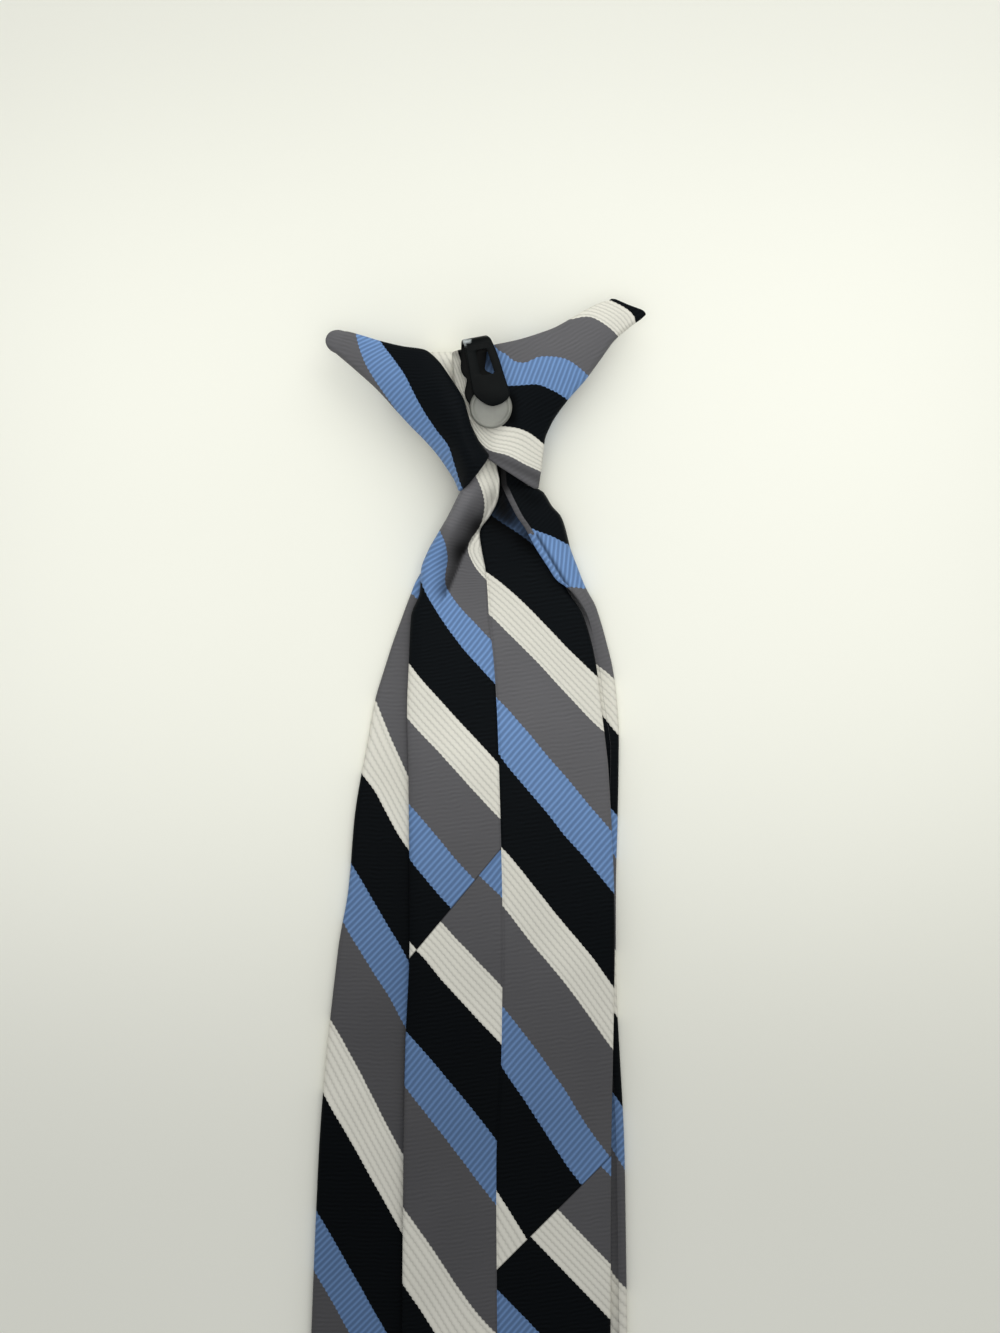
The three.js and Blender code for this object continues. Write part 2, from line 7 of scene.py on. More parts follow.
import bpy
import numpy as np
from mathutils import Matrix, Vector


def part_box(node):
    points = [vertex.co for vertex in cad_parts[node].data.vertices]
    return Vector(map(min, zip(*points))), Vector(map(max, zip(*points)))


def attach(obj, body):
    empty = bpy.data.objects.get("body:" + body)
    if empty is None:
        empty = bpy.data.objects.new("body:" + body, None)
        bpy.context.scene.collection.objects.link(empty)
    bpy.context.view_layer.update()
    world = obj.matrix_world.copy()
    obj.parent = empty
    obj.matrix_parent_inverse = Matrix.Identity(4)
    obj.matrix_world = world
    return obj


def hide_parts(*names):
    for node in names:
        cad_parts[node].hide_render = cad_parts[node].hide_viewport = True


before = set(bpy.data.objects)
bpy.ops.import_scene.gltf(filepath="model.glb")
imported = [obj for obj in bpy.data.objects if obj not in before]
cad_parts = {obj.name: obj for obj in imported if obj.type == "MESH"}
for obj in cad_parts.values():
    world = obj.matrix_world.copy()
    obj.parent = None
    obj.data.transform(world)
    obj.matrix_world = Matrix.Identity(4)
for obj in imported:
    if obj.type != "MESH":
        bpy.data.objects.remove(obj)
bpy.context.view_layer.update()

MM = 0.001

# The tables' zero in the frame, from the pad, whose middle is at x -2.2 and down 29.7
pad_low, pad_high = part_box("clip_pad")
ZERO_X = (pad_low.x + pad_high.x) / 2 / MM + 2.2
ZERO_Y = (pad_low.y + pad_high.y) / 2 / MM + 29.7

# Driving sizes, as in the part
TIE_LENGTH = 457
BLADE_HALF = 45
BLADE_MIDDLE = -10
TAIL_END = 377
TAIL_HALF = 28.3
TAIL_MIDDLE = 1.3
POINT_HALF = 0.5
BLADE_THICK = 3
TAIL_THICK = 2.8
COLLAPSED = 0.06
FIRST_DOWN, FOLDS_END, FINE_STEP, POINT_STEPS = 39.6, 240, 0.9, 30
CLOSED = f"{BLADE_THICK + COLLAPSED} {BLADE_THICK + COLLAPSED} {COLLAPSED / 2}"
BLADE_WALL = 1.8
FLAP_STUB = 0.4
HEM_ROLL = 1.2

# One repeat of the stripes, and where each colour starts in it
REPEAT = 50
WHITE, GREY, BLUE, BLACK = 0, 0.2, 0.52, 0.68
# How far a stripe may pass from its places, and the stretch that gives the rate it goes on at
PLATE_EASE, RATE_SPAN = 2e-4, 8


def slopes_of(keys, values):
    """Slopes at the keys for a smooth curve that never overshoots."""
    secants = np.diff(values) / np.diff(keys)
    slopes = np.empty(len(keys))
    slopes[0], slopes[-1] = secants[0], secants[-1]
    for i in range(1, len(keys) - 1):
        before, after = secants[i - 1], secants[i]
        slopes[i] = 0 if before * after <= 0 else 2 * before * after / (before + after)
    return slopes


def smooth(keys, values, at):
    """The smooth curve through (key, value) pairs, at one place or at many."""
    keys, values = np.asarray(keys, float), np.asarray(values, float)
    slopes = slopes_of(keys, values)
    i = np.clip(np.searchsorted(keys, at, side="left") - 1, 0, len(keys) - 2)
    span = keys[i + 1] - keys[i]
    t = np.clip((at - keys[i]) / span, 0, 1)
    leave, arrive, rise = slopes[i] * span, slopes[i + 1] * span, values[i + 1] - values[i]
    return values[i] + t * (leave + t * (3 * rise - 2 * leave - arrive + t * (leave + arrive - 2 * rise)))


def numbers(text, between=","):
    """A table written as text, its rows divided by commas or line ends."""
    return np.array([row.split() for row in text.strip().split(between)], float)


# down, share: painted shade, the dark threads painted a little darker towards the blade's point, where less
# light falls
PAINTED_FALLOFF = numbers("0 1, 115 1, 150 0.86, 200 0.74, 457 0.72")


class Rows:
    """Columns of numbers that vary smoothly from row to row, found at any value of the first column."""

    def __init__(self, columns, rows):
        self.columns, self.values = columns.split(), numbers(rows, "\n")

    def at(self, key):
        keys = self.values[:, 0]
        return {name: float(smooth(keys, self.values[:, c], key)) for c, name in enumerate(self.columns)}


class Grain:
    """How far the ribs have got, in millimetres, at any place of a panel. The table has x and down of places on
    a line down the panel, the way across the blue ribs there, in degrees from straight down, and how many lie
    where one would on flat cloth. turned is how the fine ribs are turned against them."""

    def __init__(self, table, turned=-40):
        self.turned = turned
        x, keys, lean, close = numbers(table).T
        self.down = np.arange(keys[0], keys[-1], 0.5)
        self.x, self.close = smooth(keys, x, self.down), smooth(keys, close, self.down)
        self.lean = np.radians(smooth(keys, lean, self.down))

    def along(self, x, down, turned=0):
        lean = self.lean + math.radians(turned)
        rate = self.close * (np.sin(lean) * np.gradient(self.x, self.down) + np.cos(lean))
        line = np.r_[0, np.cumsum((rate[1:] + rate[:-1]) / 2 * np.diff(self.down))]
        across = np.interp(down, self.down, self.close * np.sin(lean))
        return np.interp(down, self.down, line) + across * (x - np.interp(down, self.down, self.x))


def level_grain(lean, close=1.0, turned=-40):
    return Grain(f"0 -60 {lean} {close}, 0 520 {lean} {close}", turned)


FLAT_GRAIN = level_grain(49, turned=-41)


def flat_places(x, down):
    """x and down as two flat lists of the same length, and the shape that they had together."""
    shape = np.broadcast(x, down).shape
    return (*(np.broadcast_to(v, shape).ravel().astype(float) for v in (x, down)), shape)


class Stripes:
    """How far the stripes have got, in repeats, at any place of a panel: a thin plate through the places, x and
    down, where one colour meets the next."""

    def __init__(self, meetings, grain=FLAT_GRAIN, high=np.inf):
        self.grain, self.high = grain, high
        places = [numbers(text) for text in meetings.values()]
        self.points = np.concatenate(places) / REPEAT
        phases = np.repeat(np.array(list(meetings), float), [len(p) for p in places])
        count = len(phases)
        plate = self.bend(self.points) + PLATE_EASE * np.eye(count)
        affine = np.c_[np.ones(count), self.points]
        system = np.block([[plate, affine], [affine.T, np.zeros((3, 3))]])
        found = np.linalg.solve(system, np.r_[phases, np.zeros(3)])
        self.weights, self.plane = found[:count], found[count:]

    def bend(self, places):
        far = np.linalg.norm(places[:, None] - self.points[None], axis=2)
        return far**2 * np.log(np.maximum(far, 1e-9))

    def inner(self, x, down):
        places = np.c_[x, down] / REPEAT
        return self.bend(places) @ self.weights + self.plane[0] + places @ self.plane[1:]

    def at(self, x, down):
        """The phase; below the measured stretch it goes on at the rate that it has there."""
        x, down, shape = flat_places(x, down)
        phase = self.inner(x, np.minimum(down, self.high))
        out = down > self.high
        if out.any():
            inside = self.inner(x[out], np.full(out.sum(), self.high - RATE_SPAN))
            phase[out] += (phase[out] - inside) / RATE_SPAN * (down[out] - self.high)
        return phase.reshape(shape)


def stripe_map(x, down, stripes):
    """The phase, the length across the blue ribs and the length across the fine ribs, for a grid of places."""
    grain = stripes.grain
    return stripes.at(x, down), grain.along(x, down), grain.along(x, down, grain.turned)


def piece(name, points, faces, corner_maps, material):
    """A mesh object from points in millimetres, with UV maps given at each face corner."""
    mesh = bpy.data.meshes.new(name)
    x, down, z = np.asarray(points, float).T
    placed = np.c_[x + ZERO_X, ZERO_Y - down, z] * MM
    mesh.from_pydata(placed.tolist(), [], faces)
    for title, values in corner_maps.items():
        layer = mesh.uv_layers.new(name=title)
        layer.data.foreach_set("uv", np.asarray(values, np.float32).ravel())
    mesh.shade_smooth()
    if material is not None:
        mesh.materials.append(material)
    mesh.update()
    made = bpy.data.objects.new(name, mesh)
    bpy.context.scene.collection.objects.link(made)
    return made


class Panel:
    """What a strip of cloth shows: its stripes, a slanting seam where pieces are joined and the stripes below
    it, and painted light and shade: one factor paints the whole panel lighter or darker, marks add painted
    shade in hollows and creases (a painted highlight where their darkness is below zero), and deep is how
    light its grey, black and blue threads are painted, as painted shade."""

    def __init__(self, stripes, cut=None, below=None, hollows=(), tone=1.0, deep=1.0):
        self.stripes, self.cut, self.below = stripes, cut, below
        self.hollows, self.tone, self.deep = hollows, tone, deep

    # The panel's painted light and shade at each place: its own factor times each mark's painted shade, or a
    # painted highlight where the mark's darkness is below zero.
    def tone_at(self, x, down):
        tone = np.full_like(x, self.tone)
        for ax, ad, bx, bd, to_right, to_left, dark in self.hollows:
            way_x, way_d = bx - ax, bd - ad
            along = ((x - ax) * way_x + (down - ad) * way_d) / (way_x**2 + way_d**2)
            along = np.clip(along, 0, 1)
            off = np.hypot(x - ax - along * way_x, down - ad - along * way_d)
            side = way_x * (down - ad) - way_d * (x - ax)
            tone *= 1 - dark * np.exp(-((off / np.where(side > 0, to_right, to_left)) ** 2))
        return tone

    def maps(self, x, down):
        """Phase, run and weft above the seam, how far past the seam, the same three below it, and the painted
        light and shade for all threads and for the grey, black and blue threads.
        """
        above = stripe_map(x, down, self.stripes)
        tone = self.tone_at(x, down)
        # painted shade on the grey, black and blue threads: the panel's own, the marks', and more towards the
        # blade's point
        deep = self.deep * tone * np.interp(down, *PAINTED_FALLOFF.T)
        if self.cut is None:
            return np.dstack([*above, np.full_like(x, -REPEAT), *above, tone, deep])
        (ax, ad), (bx, bd) = self.cut
        past = ((bx - ax) * (down - ad) - (bd - ad) * (x - ax)) / math.hypot(bx - ax, bd - ad)
        return np.dstack([*above, past, *stripe_map(x, down, self.below), tone, deep])


def skin(rows, count):
    """The faces of a closed skin through rings of count points: each face's points, and for each of its corners
    the ring, the strip of faces and the side of that strip that it takes its cloth from."""
    for r in range(rows - 1):
        for i in range(count):
            j = (i + 1) % count
            yield ((r * count + i, (r + 1) * count + i, (r + 1) * count + j, r * count + j),
                   ((r, i, 0), (r + 1, i, 0), (r + 1, i, 1), (r, i, 1)))
    for r, order in ((0, range(count)), (rows - 1, range(count - 1, -1, -1))):
        yield tuple(r * count + i for i in order), tuple((r, i, 0) for i in order)


def loft(name, rings, strips, panels, material):
    """A closed skin through rings of points. strips names the panel that each strip of faces shows."""
    rings = np.asarray(rings, float)
    rows, count = rings.shape[:2]
    wide, deep = (np.concatenate([rings[:, :, i], rings[:, :1, i]], axis=1) for i in (0, 1))
    strips = np.asarray(strips)
    found = np.zeros((rows, count, 2, 9))
    for key, panel in panels.items():
        used = np.flatnonzero(strips == key)
        for start, stop in runs_of(used):
            part = panel.maps(wide[:, start:stop + 2], deep[:, start:stop + 2])
            found[:, start:stop + 1, 0] = part[:, :-1]
            found[:, start:stop + 1, 1] = part[:, 1:]
    faces, corners = zip(*skin(rows, count))
    corners = [found[corner] for face in corners for corner in face]
    phase, run, weft, past, phase_below, run_below, weft_below, tone, deep = np.array(corners).T
    maps = {"Cloth": np.c_[run / REPEAT, phase], "Ribs": np.c_[weft, past] / REPEAT,
            "PaintedShading": np.c_[tone, deep]}
    if any(panel.cut is not None for panel in panels.values()):
        maps["ClothBelow"] = np.c_[run_below / REPEAT, phase_below]
        maps["RibsBelow"] = np.c_[weft_below / REPEAT, 0 * weft_below]
    made = piece(name, rings.reshape(-1, 3), faces, maps, material)
    turn_outward(made)
    return made


def runs_of(indices):
    """The first and last of each unbroken run in a sorted list of whole numbers."""
    breaks = np.flatnonzero(np.diff(indices) > 1)
    return zip(np.r_[indices[0], indices[breaks + 1]], np.r_[indices[breaks], indices[-1]])


def turn_outward(made):
    """Flips a closed mesh whose faces point in."""
    mesh = made.data
    mesh.calc_loop_triangles()
    corners = ([mesh.vertices[i].co for i in triangle.vertices] for triangle in mesh.loop_triangles)
    if sum(a.dot(b.cross(c)) for a, b, c in corners) < 0:
        mesh.flip_normals()


# ---- tables of sections, one row for each place down a piece ----
TAIL = Rows("down left crest valley seam right zCrest zValley zSeam drop zRight under underRight", f"""
    39.6 -7.8 -4.4 -2.2 -0.9 4.6 13 12.8 12.6 4.2 8.3 7.2 6.9
    44.3 -8.4 -4.8 -2.4 -0.9 3.8 14 13.8 13.6 4.8 8.6 7.3 7
    49.5 -9.4 -6.6 -2.6 -0.1 3 15.6 14.6 14.4 5.4 8.8 7.3 7
    53.5 -11.5 -8.2 -4.2 -0.4 4.2 15.9 14 13.4 4.2 9.5 7 6.6
    58 -13.7 -10.4 -6.2 -2.3 6.6 14.9 12.4 11.9 3.2 9 6.4 6
    63.2 -16.7 -13.4 -8.9 -5.5 9.9 13.2 10.8 10.6 2.2 8.5 5.7 5.4
    68 -19.4 -15.9 -10.9 -4.9 12.6 11.6 9.4 9.4 1.5 7.8 5.1 4.9
    73.2 -21.3 -18.6 -13.4 -3.9 15.4 9.9 8.1 8.4 1 7.1 4.6 4.4
    78.8 -21.6 -19 -14.3 -3.4 18.2 8.5 7.4 7.8 0.7 7.3 4.1 4.4
    85.6 -24 -20.4 -15 -3 22.5 7.6 7.1 7.4 0.5 7.4 3.9 4.7
    98 -24.6 -20.8 -15 -1.7 25.8 6.9 6.8 7 0.4 6.9 3.8 4.3
    111.8 -25.1 -21 -15 -0.8 27.5 6.5 6.5 6.6 0.4 6.5 3.7 3.9
    129 -24.7 -21 -15 -0.2 29.4 6.3 6.3 6.4 0.3 6.3 3.5 3.5
    172 -24.4 -21 -15 0.7 31 6.3 6.3 6.4 0.3 6.3 3.5 3.5
    203 -25.6 -21 -15 0.4 30.5 6.3 6.3 6.4 0.3 6.3 3.5 3.5
    233.5 -26.1 -21 -15 -1 30 6.3 6.3 6.4 0.3 6.3 3.5 3.5
    {TAIL_END} {TAIL_MIDDLE - TAIL_HALF} -21 -15 0.6 {TAIL_MIDDLE + TAIL_HALF} 6.3 6.3 6.4 0.3 6.3 3.5 3.5""")

WIDE = BLADE_HALF + 1
BLADE = Rows("down left right under thick edge flapTop foldTop flapThick", f"""
    39.6 -8.4 6.6 3.4 2.9 -0.2 11.6 10.2 1.4
    44.3 -8.8 7 3.4 2.9 0.1 12.2 10.4 1.4
    50.6 -8.8 7.6 3.4 2.9 0.5 13 10.6 1.4
    51.5 -9.9 11 3.3 2.9 0.9 13.2 10.4 1.4
    53.5 -10.9 12.6 3 2.9 1.8 13.2 10.1 1.4
    55.9 -11.9 14 2.7 2.9 3 13 9.8 1.4
    58.6 -13.2 16.4 2.4 2.9 4.4 12.7 9.4 1.4
    62.1 -15 17.7 2 2.9 6.8 12.1 8.9 1.4
    67 -17.6 18.9 1.5 2.9 9.4 11.2 8.2 1.4
    72.1 -20.2 20.8 1.1 2.9 12.7 10.4 7.3 1.4
    76 -22.6 22.3 0.8 2.9 15.3 9.8 6.4 1.4
    77.6 -23.3 23 0.7 2.9 17.6 9.2 6 1.3
    79.2 -23.9 23.8 0.6 2.9 19.4 8.2 5.6 1.1
    82.6 -25.2 25.7 0.4 2.9 21.8 6 4.6 0.8
    86.4 -26.6 27 0.2 2.9 23.8 4.1 3.7 0.3
    92.1 -28.7 28.6 0.1 2.9 25.3 {CLOSED}
    100.2 -31.3 30.5 0 {BLADE_THICK} 26.9 {CLOSED}
    108.3 -33.7 31.5 0 {BLADE_THICK} 28 {CLOSED}
    117.2 -35.3 32.1 0 {BLADE_THICK} 29.4 {CLOSED}
    139.3 -39.2 31.8 0 {BLADE_THICK} 31.8 {CLOSED}
    159 -40.9 31.3 0 {BLADE_THICK} 31.3 {CLOSED}
    175.5 -43.7 31.3 0 {BLADE_THICK} 31.3 {CLOSED}
    233.8 -49.1 33.7 0 {BLADE_THICK} 33.7 {CLOSED}
    {TIE_LENGTH} {BLADE_MIDDLE - WIDE} {BLADE_MIDDLE + WIDE} 0 {BLADE_THICK} {BLADE_MIDDLE + WIDE} {CLOSED}""")

KNOT = Rows("down left right lift shoulder crown pocket wall", """
    14.4 -24.6 19.4 2.4 7 9.6 0 3
    16.2 -25.4 19.8 0.7 7.6 12.6 0 3
    21.9 -24.4 18 0 7.8 13.6 0 3
    30 -20.8 15.3 0 7.8 13.6 0 3
    37.4 -17.2 11.4 0 7.6 13.4 0 3
    38.6 -16.6 11.1 0 7.6 10.4 1 3
    44.3 -14 10.3 0 7 8.4 1 3
    48.6 -12 9.9 0.3 6.4 6.8 1 2.4
    50.2 -11.3 9.7 1 6.2 6.5 1 2.1""")
POCKET_FLOOR = 3
LIP = 1.6
FLAT_SHARE = 0.72

RIGHT_WING = Rows("at ux ud uz lx ld lz thick rise bow", """
    0 29.4 0.7 13 39.2 4.6 12 1.6 0.2 0.3
    1 27.8 1 13.2 38.1 5.6 12.2 2.2 0.3 0.2
    2 23.8 2.8 13.7 34.8 8 12.5 2.6 0.4 0
    3 18.8 5.7 14.4 30.8 11.5 12.8 2.8 0.5 0
    4 14.6 8 15 27 16.7 12.9 2.8 0.7 0
    5 10 9.7 15.5 23 22.1 12.8 2.6 0.9 0
    6 5.1 11.2 15.8 17.8 28.1 12.4 2.4 1.1 0
    7 0 12.3 16 13.9 33.8 11.8 2.2 1.4 0
    8 -4.3 13.1 15.8 12.1 38.3 11.2 2.2 1.8 0
    9 -8.6 13.6 15.6 11.6 42.4 10.7 2.2 2.2 0
    10 -12.9 15 15 11.1 46.7 10.2 2.2 2.6 0
    11 -12 26.5 15 10.7 49.2 9.8 2.2 2.5 0.1
    12 -9.6 38 15 10.4 51 9.4 2 2.2 0.2""")
LEFT_WING = Rows("at ux ud uz lx ld lz thick rise bow", """
    0 -45.2 9.3 11.6 -46.8 12.6 11.2 1.8 0.1 -0.5
    1 -41.9 8.9 12.2 -44.2 14.9 11.4 2.4 0.3 -0.3
    2 -37.3 10 13.2 -38.6 19.7 11.9 2.8 0.5 0
    3 -32.4 11.5 14.4 -33 24.8 12.2 3 0.7 0
    4 -26.2 13 16 -27.8 30.5 12.2 3 1 0
    5 -20.5 13.9 17.4 -24 34.6 11.8 3 1.4 0
    6 -17 16.5 18.2 -20.5 38.1 11.4 2.9 1.7 0
    7 -13.5 21.2 18.9 -17 42.1 11 2.8 2 0
    8 -9.7 27.5 19.1 -14.3 45.9 10.7 2.8 2.2 0
    9 -7.8 34 18.9 -12.4 48.9 10.6 2.8 2.4 0
    10 -5.2 39.2 18.8 -11.5 51 10.7 2.8 2.4 -0.2
    11 -3.2 41.9 18.6 -11.2 51.8 11 2.6 2 -0.5""")
DROOP = 2.4

# ---- the ribs' ways on each panel: x, down, lean, and how many lie where one would ----
TAIL_GRAIN = Grain("""
    -16.2 -53.7 20 1.2, -16.2 38.1 20 1.2, -19.4 66.4 28 1.2, -17.3 73.7 33 1.2,
    -14.3 80.5 48 1.2, -10.8 84.5 52 1.12, -5.4 89.9 53 1.1, -2.7 108.3 48 1,
    -2.7 513.3 48 1""")
FLAP_GRAIN = Grain("""
    8.1 -53.7 85 1.2, 8.1 40.8 85 1.2, 17.6 70.5 85 1.15, 27 92.1 60 1.05,
    30.2 124.5 48 1, 30.2 513.3 48 1""")
LEFT_WING_GRAIN = Grain("""
    -43.2 -53.7 20 1.35, -40.5 7 22 1.35, -36.5 13.8 28 1.3, -33.8 17 36 1.2,
    -30.5 21.1 42 1.13, -27 26.7 46 1.1, -18.9 40.8 46 1.1, -10.8 162.3 46 1.1""")
RIGHT_WING_GRAIN = level_grain(69, 1.14)
BLADE_GRAIN = level_grain(45, 1.03, -46)
FRONT_GRAIN = level_grain(-49, turned=41)
KNOT_GRAIN = level_grain(30)

# ---- where each panel's colours start, as (x, down) ----
TAIL_LEFT = Stripes({
    GREY: "-6.3 48.1, -4.9 51.3, -4.1 54.8, -4.3 58.1, -5.9 62.4, -8.4 66.2, -8.6 67.8, -6.8 72.1, -4.6 74.8",
    BLUE: "-18.9 55.6, -16.2 62.4, -14.6 66.2, -14 69.9, -14.6 77, -13.2 79.7, -10.5 83.4, -7.6 86.4, "
          "-4.3 89.9, -1.9 92.3",
    BLACK: "-23.5 67.8, -21.6 74.8, -20 79.1, -17.8 82.9, -13.2 89.9, -9.7 94.5, -6.2 98.3, -3 101.8",
    1 + WHITE: "-23 100.4, -16.2 108.1, -8.1 117, -1.9 123.7",
    1 + GREY: "-23 115.2, -16.2 122.4, -8.1 131.4, -1.9 138.1",
    1 + BLUE: "-23 137.8, -16.2 145.7, -8.1 155.1, -1.9 162",
    1 + BLACK: "-23 152.7, -16.2 160.8, -8.1 170.4, -1.9 177.7",
    2 + WHITE: "-24.3 173.5, -16.2 182.5, -1.9 197.9",
}, TAIL_GRAIN, high=200)
TAIL_LEFT_BELOW = Stripes({
    BLUE: "-12.2 147.7, -5.4 156.1, -1.9 159.4",
    GREY: "-21.6 162.8, -16.2 167.9, -12.2 172.4, -8.1 176.7, -1.9 183.2",
    WHITE: "-23.8 174.7, -20.2 178.2, -16.2 183.2, -8.1 192.1, -1.9 198.7",
    BLACK - 1: "-23 200.5, -16.2 208.3, -8.1 218, -1.9 226.1",
    BLUE - 1: "-23 216.4, -16.2 225, -12.2 230.2, -5.4 239",
}, level_grain(51, turned=-43), high=232)
TAIL_RIGHT = Stripes({
    BLUE - 1: "0 47.2, 8.6 54.8, 16.2 60.8",
    BLACK - 1: "-1.9 58.6, 3.5 62.1, 8.6 65.9, 14 70.5",
    WHITE: "-1.9 74.9, 2.2 78.2, 9.5 85.1, 17.6 93.6, 25.7 101.4",
    GREY: "-1.9 85.9, 2.2 90, 9.5 97.3, 17.6 106, 25.7 114.6, 28.4 117",
    BLUE: "2.2 110.6, 9.5 118.9, 17.6 128.4, 25.7 138.1, 29.7 142.8",
    BLACK: "2.2 126, 9.5 134.6, 17.6 144.6, 25.7 154, 29.7 158.8",
    1 + WHITE: "2.2 149.9, 9.5 158.8, 17.6 168.9, 25.7 178.6, 29.7 184.4",
    1 + GREY: "2.2 165.4, 9.5 174.8, 17.6 184.5, 25.7 195.6, 29.7 201.3",
    1 + BLUE: "2.2 192.4, 9.5 201.8, 17.6 213.2, 25.7 225.9, 29.7 231.1",
    1 + BLACK: "2.2 209.4, 9.5 220.2, 17.6 232.6",
}, high=232)
BLADE_LEFT = Stripes({
    BLUE: "-25.9 78, -22.4 81.3",
    GREY: "-33.8 108.4, -29.7 118.4, -27 124.3, -25.1 128.5",
    WHITE: "-38.3 126.9, -33.8 132.8, -29.7 140.5, -27 145.3",
    BLACK - 1: "-40 153.1, -37.8 156.7, -33.8 163.5, -29.7 170.4, -27 174.8",
    BLUE - 1: "-41.9 169.4, -37.8 176.4, -33.8 182.8, -29.7 189.1, -27 194.3",
    GREY - 1: "-44.8 196.3, -41.9 201.3, -37.8 208.8, -33.8 216.7, -29.7 224.8",
    WHITE - 1: "-45.9 217.9, -41.9 224.6, -37.8 231.8",
}, BLADE_GRAIN, high=232)
BLADE_RIGHT = Stripes({
    1: "-2.7 32.7, 8.1 45.1",
    BLACK: "5.4 60.5, 9.5 62.6, 14 64.3, 18.6 66.7",
    BLUE: "13.5 75.3, 18.1 77.8, 23 78.4",
    GREY: "28.4 100.6, 29.7 101.7, 31.3 103.4",
    WHITE: "28.4 113.3, 29.7 115, 31.3 116.9",
    BLACK - 1: "28.4 135.3, 29.7 137.4, 31.3 139.3",
    BLUE - 1: "29.7 148.8, 31.3 151.1",
    GREY - 1: "29.7 173.6, 31.3 175.9",
    WHITE - 1: "29.7 190.9, 31.3 193.3",
    BLACK - 2: "29.7 213.6, 31.3 215.6",
    BLUE - 2: "16.2 205.5, 29.7 228.7, 31.3 231",
}, FLAP_GRAIN, high=228)
RIGHT_WING_STRIPES = Stripes({
    WHITE: "27.5 0, 30 0.8, 32.7 2.1, 34.8 3.5, 36.2 5.1, 36.6 6.8",
    GREY: "18.8 5.7, 21.9 5.1, 24.3 5.1, 28.6 7.3, 31.6 10",
    BLUE: "-1.1 13.2, 1.6 14.9, 4.3 17, 7 17.3, 10 15.9, 13.8 15.7, 17.6 16.3, 21.3 18.6, 23.8 20.8",
    BLACK: "-5.9 12.4, -4.3 18.6, -1.6 22.4, 1.6 23.5, 5.1 23.5, 9.5 23.2, 13.2 24.3, 16.2 25.8, 18.4 27.3",
    1 + WHITE: "-11.9 12.7, -9.2 20.2, -6.8 27.3, -3.5 32.9, 1.4 34.6, 4.9 35.1, 7.8 36.3, 10 37.8, 11.9 39.4",
    1 + GREY: "-19.4 12.4, -14.6 21.3, -9.7 32.1, -3.3 40.8, 1.4 42.1, 6.5 44.6, 11.1 46.7",
    1 + BLUE: "-16.2 32.7, -8.1 44, 1.4 50.5, 8.1 54.3",
}, RIGHT_WING_GRAIN)
LEFT_WING_STRIPES = Stripes({
    GREY: "-49.1 8.4, -45.9 21.9",
    BLUE: "-38.9 9.7, -38.1 13, -36.2 18.1, -34 21.9, -31.3 25.9, -26.7 32.1, -21.6 39.2",
    BLACK: "-32.4 11.6, -30 14.9, -26.2 20.2, -22.4 27.5, -19.7 32.1, -16.7 36.5, -14 40, -12.7 44, -11.1 49.1",
    1: "-12.2 9.7, -8.1 16.5, -2.7 27.3, 2.7 40.8",
}, LEFT_WING_GRAIN)
KNOT_STRIPES = Stripes({
    0: "-10 12.4, -6.5 19.7, -1.1 30",
    GREY: "-20.2 12.4, -16.7 19.7, -13.5 27.3",
    -0.16: "10 50.8, 0 43.5, -8.1 48.3, -12.2 48.9",
    -0.5: "16.2 38.1, 10.8 12.4",
}, KNOT_GRAIN)

# down, phase: the flap's hem is grey, with blue where the flap beside it is blue
HEM_PHASES = [(39, 0.36), (63.4, BLUE), (71, 0.6), (78.3, BLUE), (92, 0.36)]

# ---- painted shade in hollows and creases that little light reaches, as marks: x and down of both ends, reach to the right and left, how dark; a darkness below zero paints a highlight ----
# the roll's last mark is a painted highlight on its crest
ROLL_PAINTED_SHADING = numbers("""
    -5.7 61.8 -9.7 68.3 3.3 0.35 0.66,
    -9.7 68.3 -14 78.6 2.6 0.35 0.52,
    -1.1 44 -1.6 53.7 1.8 0.8 0.22,
    -1.6 53.7 -5.7 61.8 2.4 0.8 0.38,
    -7.6 49.4 -14 59.7 2.6 2.6 -0.17""")
NECK_PAINTED_SHADE = numbers("""
    -0.3 47.2 0.8 55.9 5 5 0.95,
    -2.7 57.5 2.2 59.4 2.4 2.4 0.5,
    2.7 59.1 7 64 3.2 3.2 0.46,
    7 64 9.2 66.7 2.4 2.4 0.35""")
HEM_PAINTED_SHADE = numbers("""
    0 44 1.4 50 2.6 2.6 0.7,
    1.6 50.5 8.6 62.4 3 3 0.1""")
FLAP_PAINTED_SHADE = numbers("""
    10 64 18.4 78 0.3 0.6 0.5,
    18.9 78.6 24.3 92.1 0.8 0.5 0.3,
    0 48.3 9.5 54.3 2 2 0.2""")
WRAP_PAINTED_SHADE = numbers("""
    -14.6 13.8 -10.3 15.7 1.1 1.1 0.45,
    -11.3 14.3 -10.3 19.7 1.3 1.3 0.2,
    -13 13.8 -7 28.6 2.6 2.6 0.12,
    -7 28.6 -2.7 38.1 1.4 1.4 0.1,
    -2.7 42.1 11.3 48.9 1.3 1.3 0.22,
    -3.5 14.3 -3.2 17.6 2.2 2.2 0.5,
    3 27.3 3.2 32.7 1.4 1.4 0.5""")


class Blend:
    """A front panel: it takes each fold's phase and goes from one to the other, with the stripes mirrored."""

    grain = FRONT_GRAIN

    def __init__(self, left, right, edges, slope):
        self.left, self.right, self.edges, self.slope = left, right, edges, slope

    def at(self, x, down):
        x, down, shape = flat_places(x, down)
        lefts, rights = self.edges(down)
        t = np.clip((x - lefts) / np.maximum(rights - lefts, 1e-6), 0, 1)
        from_left = self.left.at(lefts, down + self.slope * (x - lefts))
        from_right = self.right.at(rights, down + self.slope * (x - rights))
        gap = np.round(np.median(from_right - from_left))
        return ((1 - t) * from_left + t * (from_right - gap)).reshape(shape)


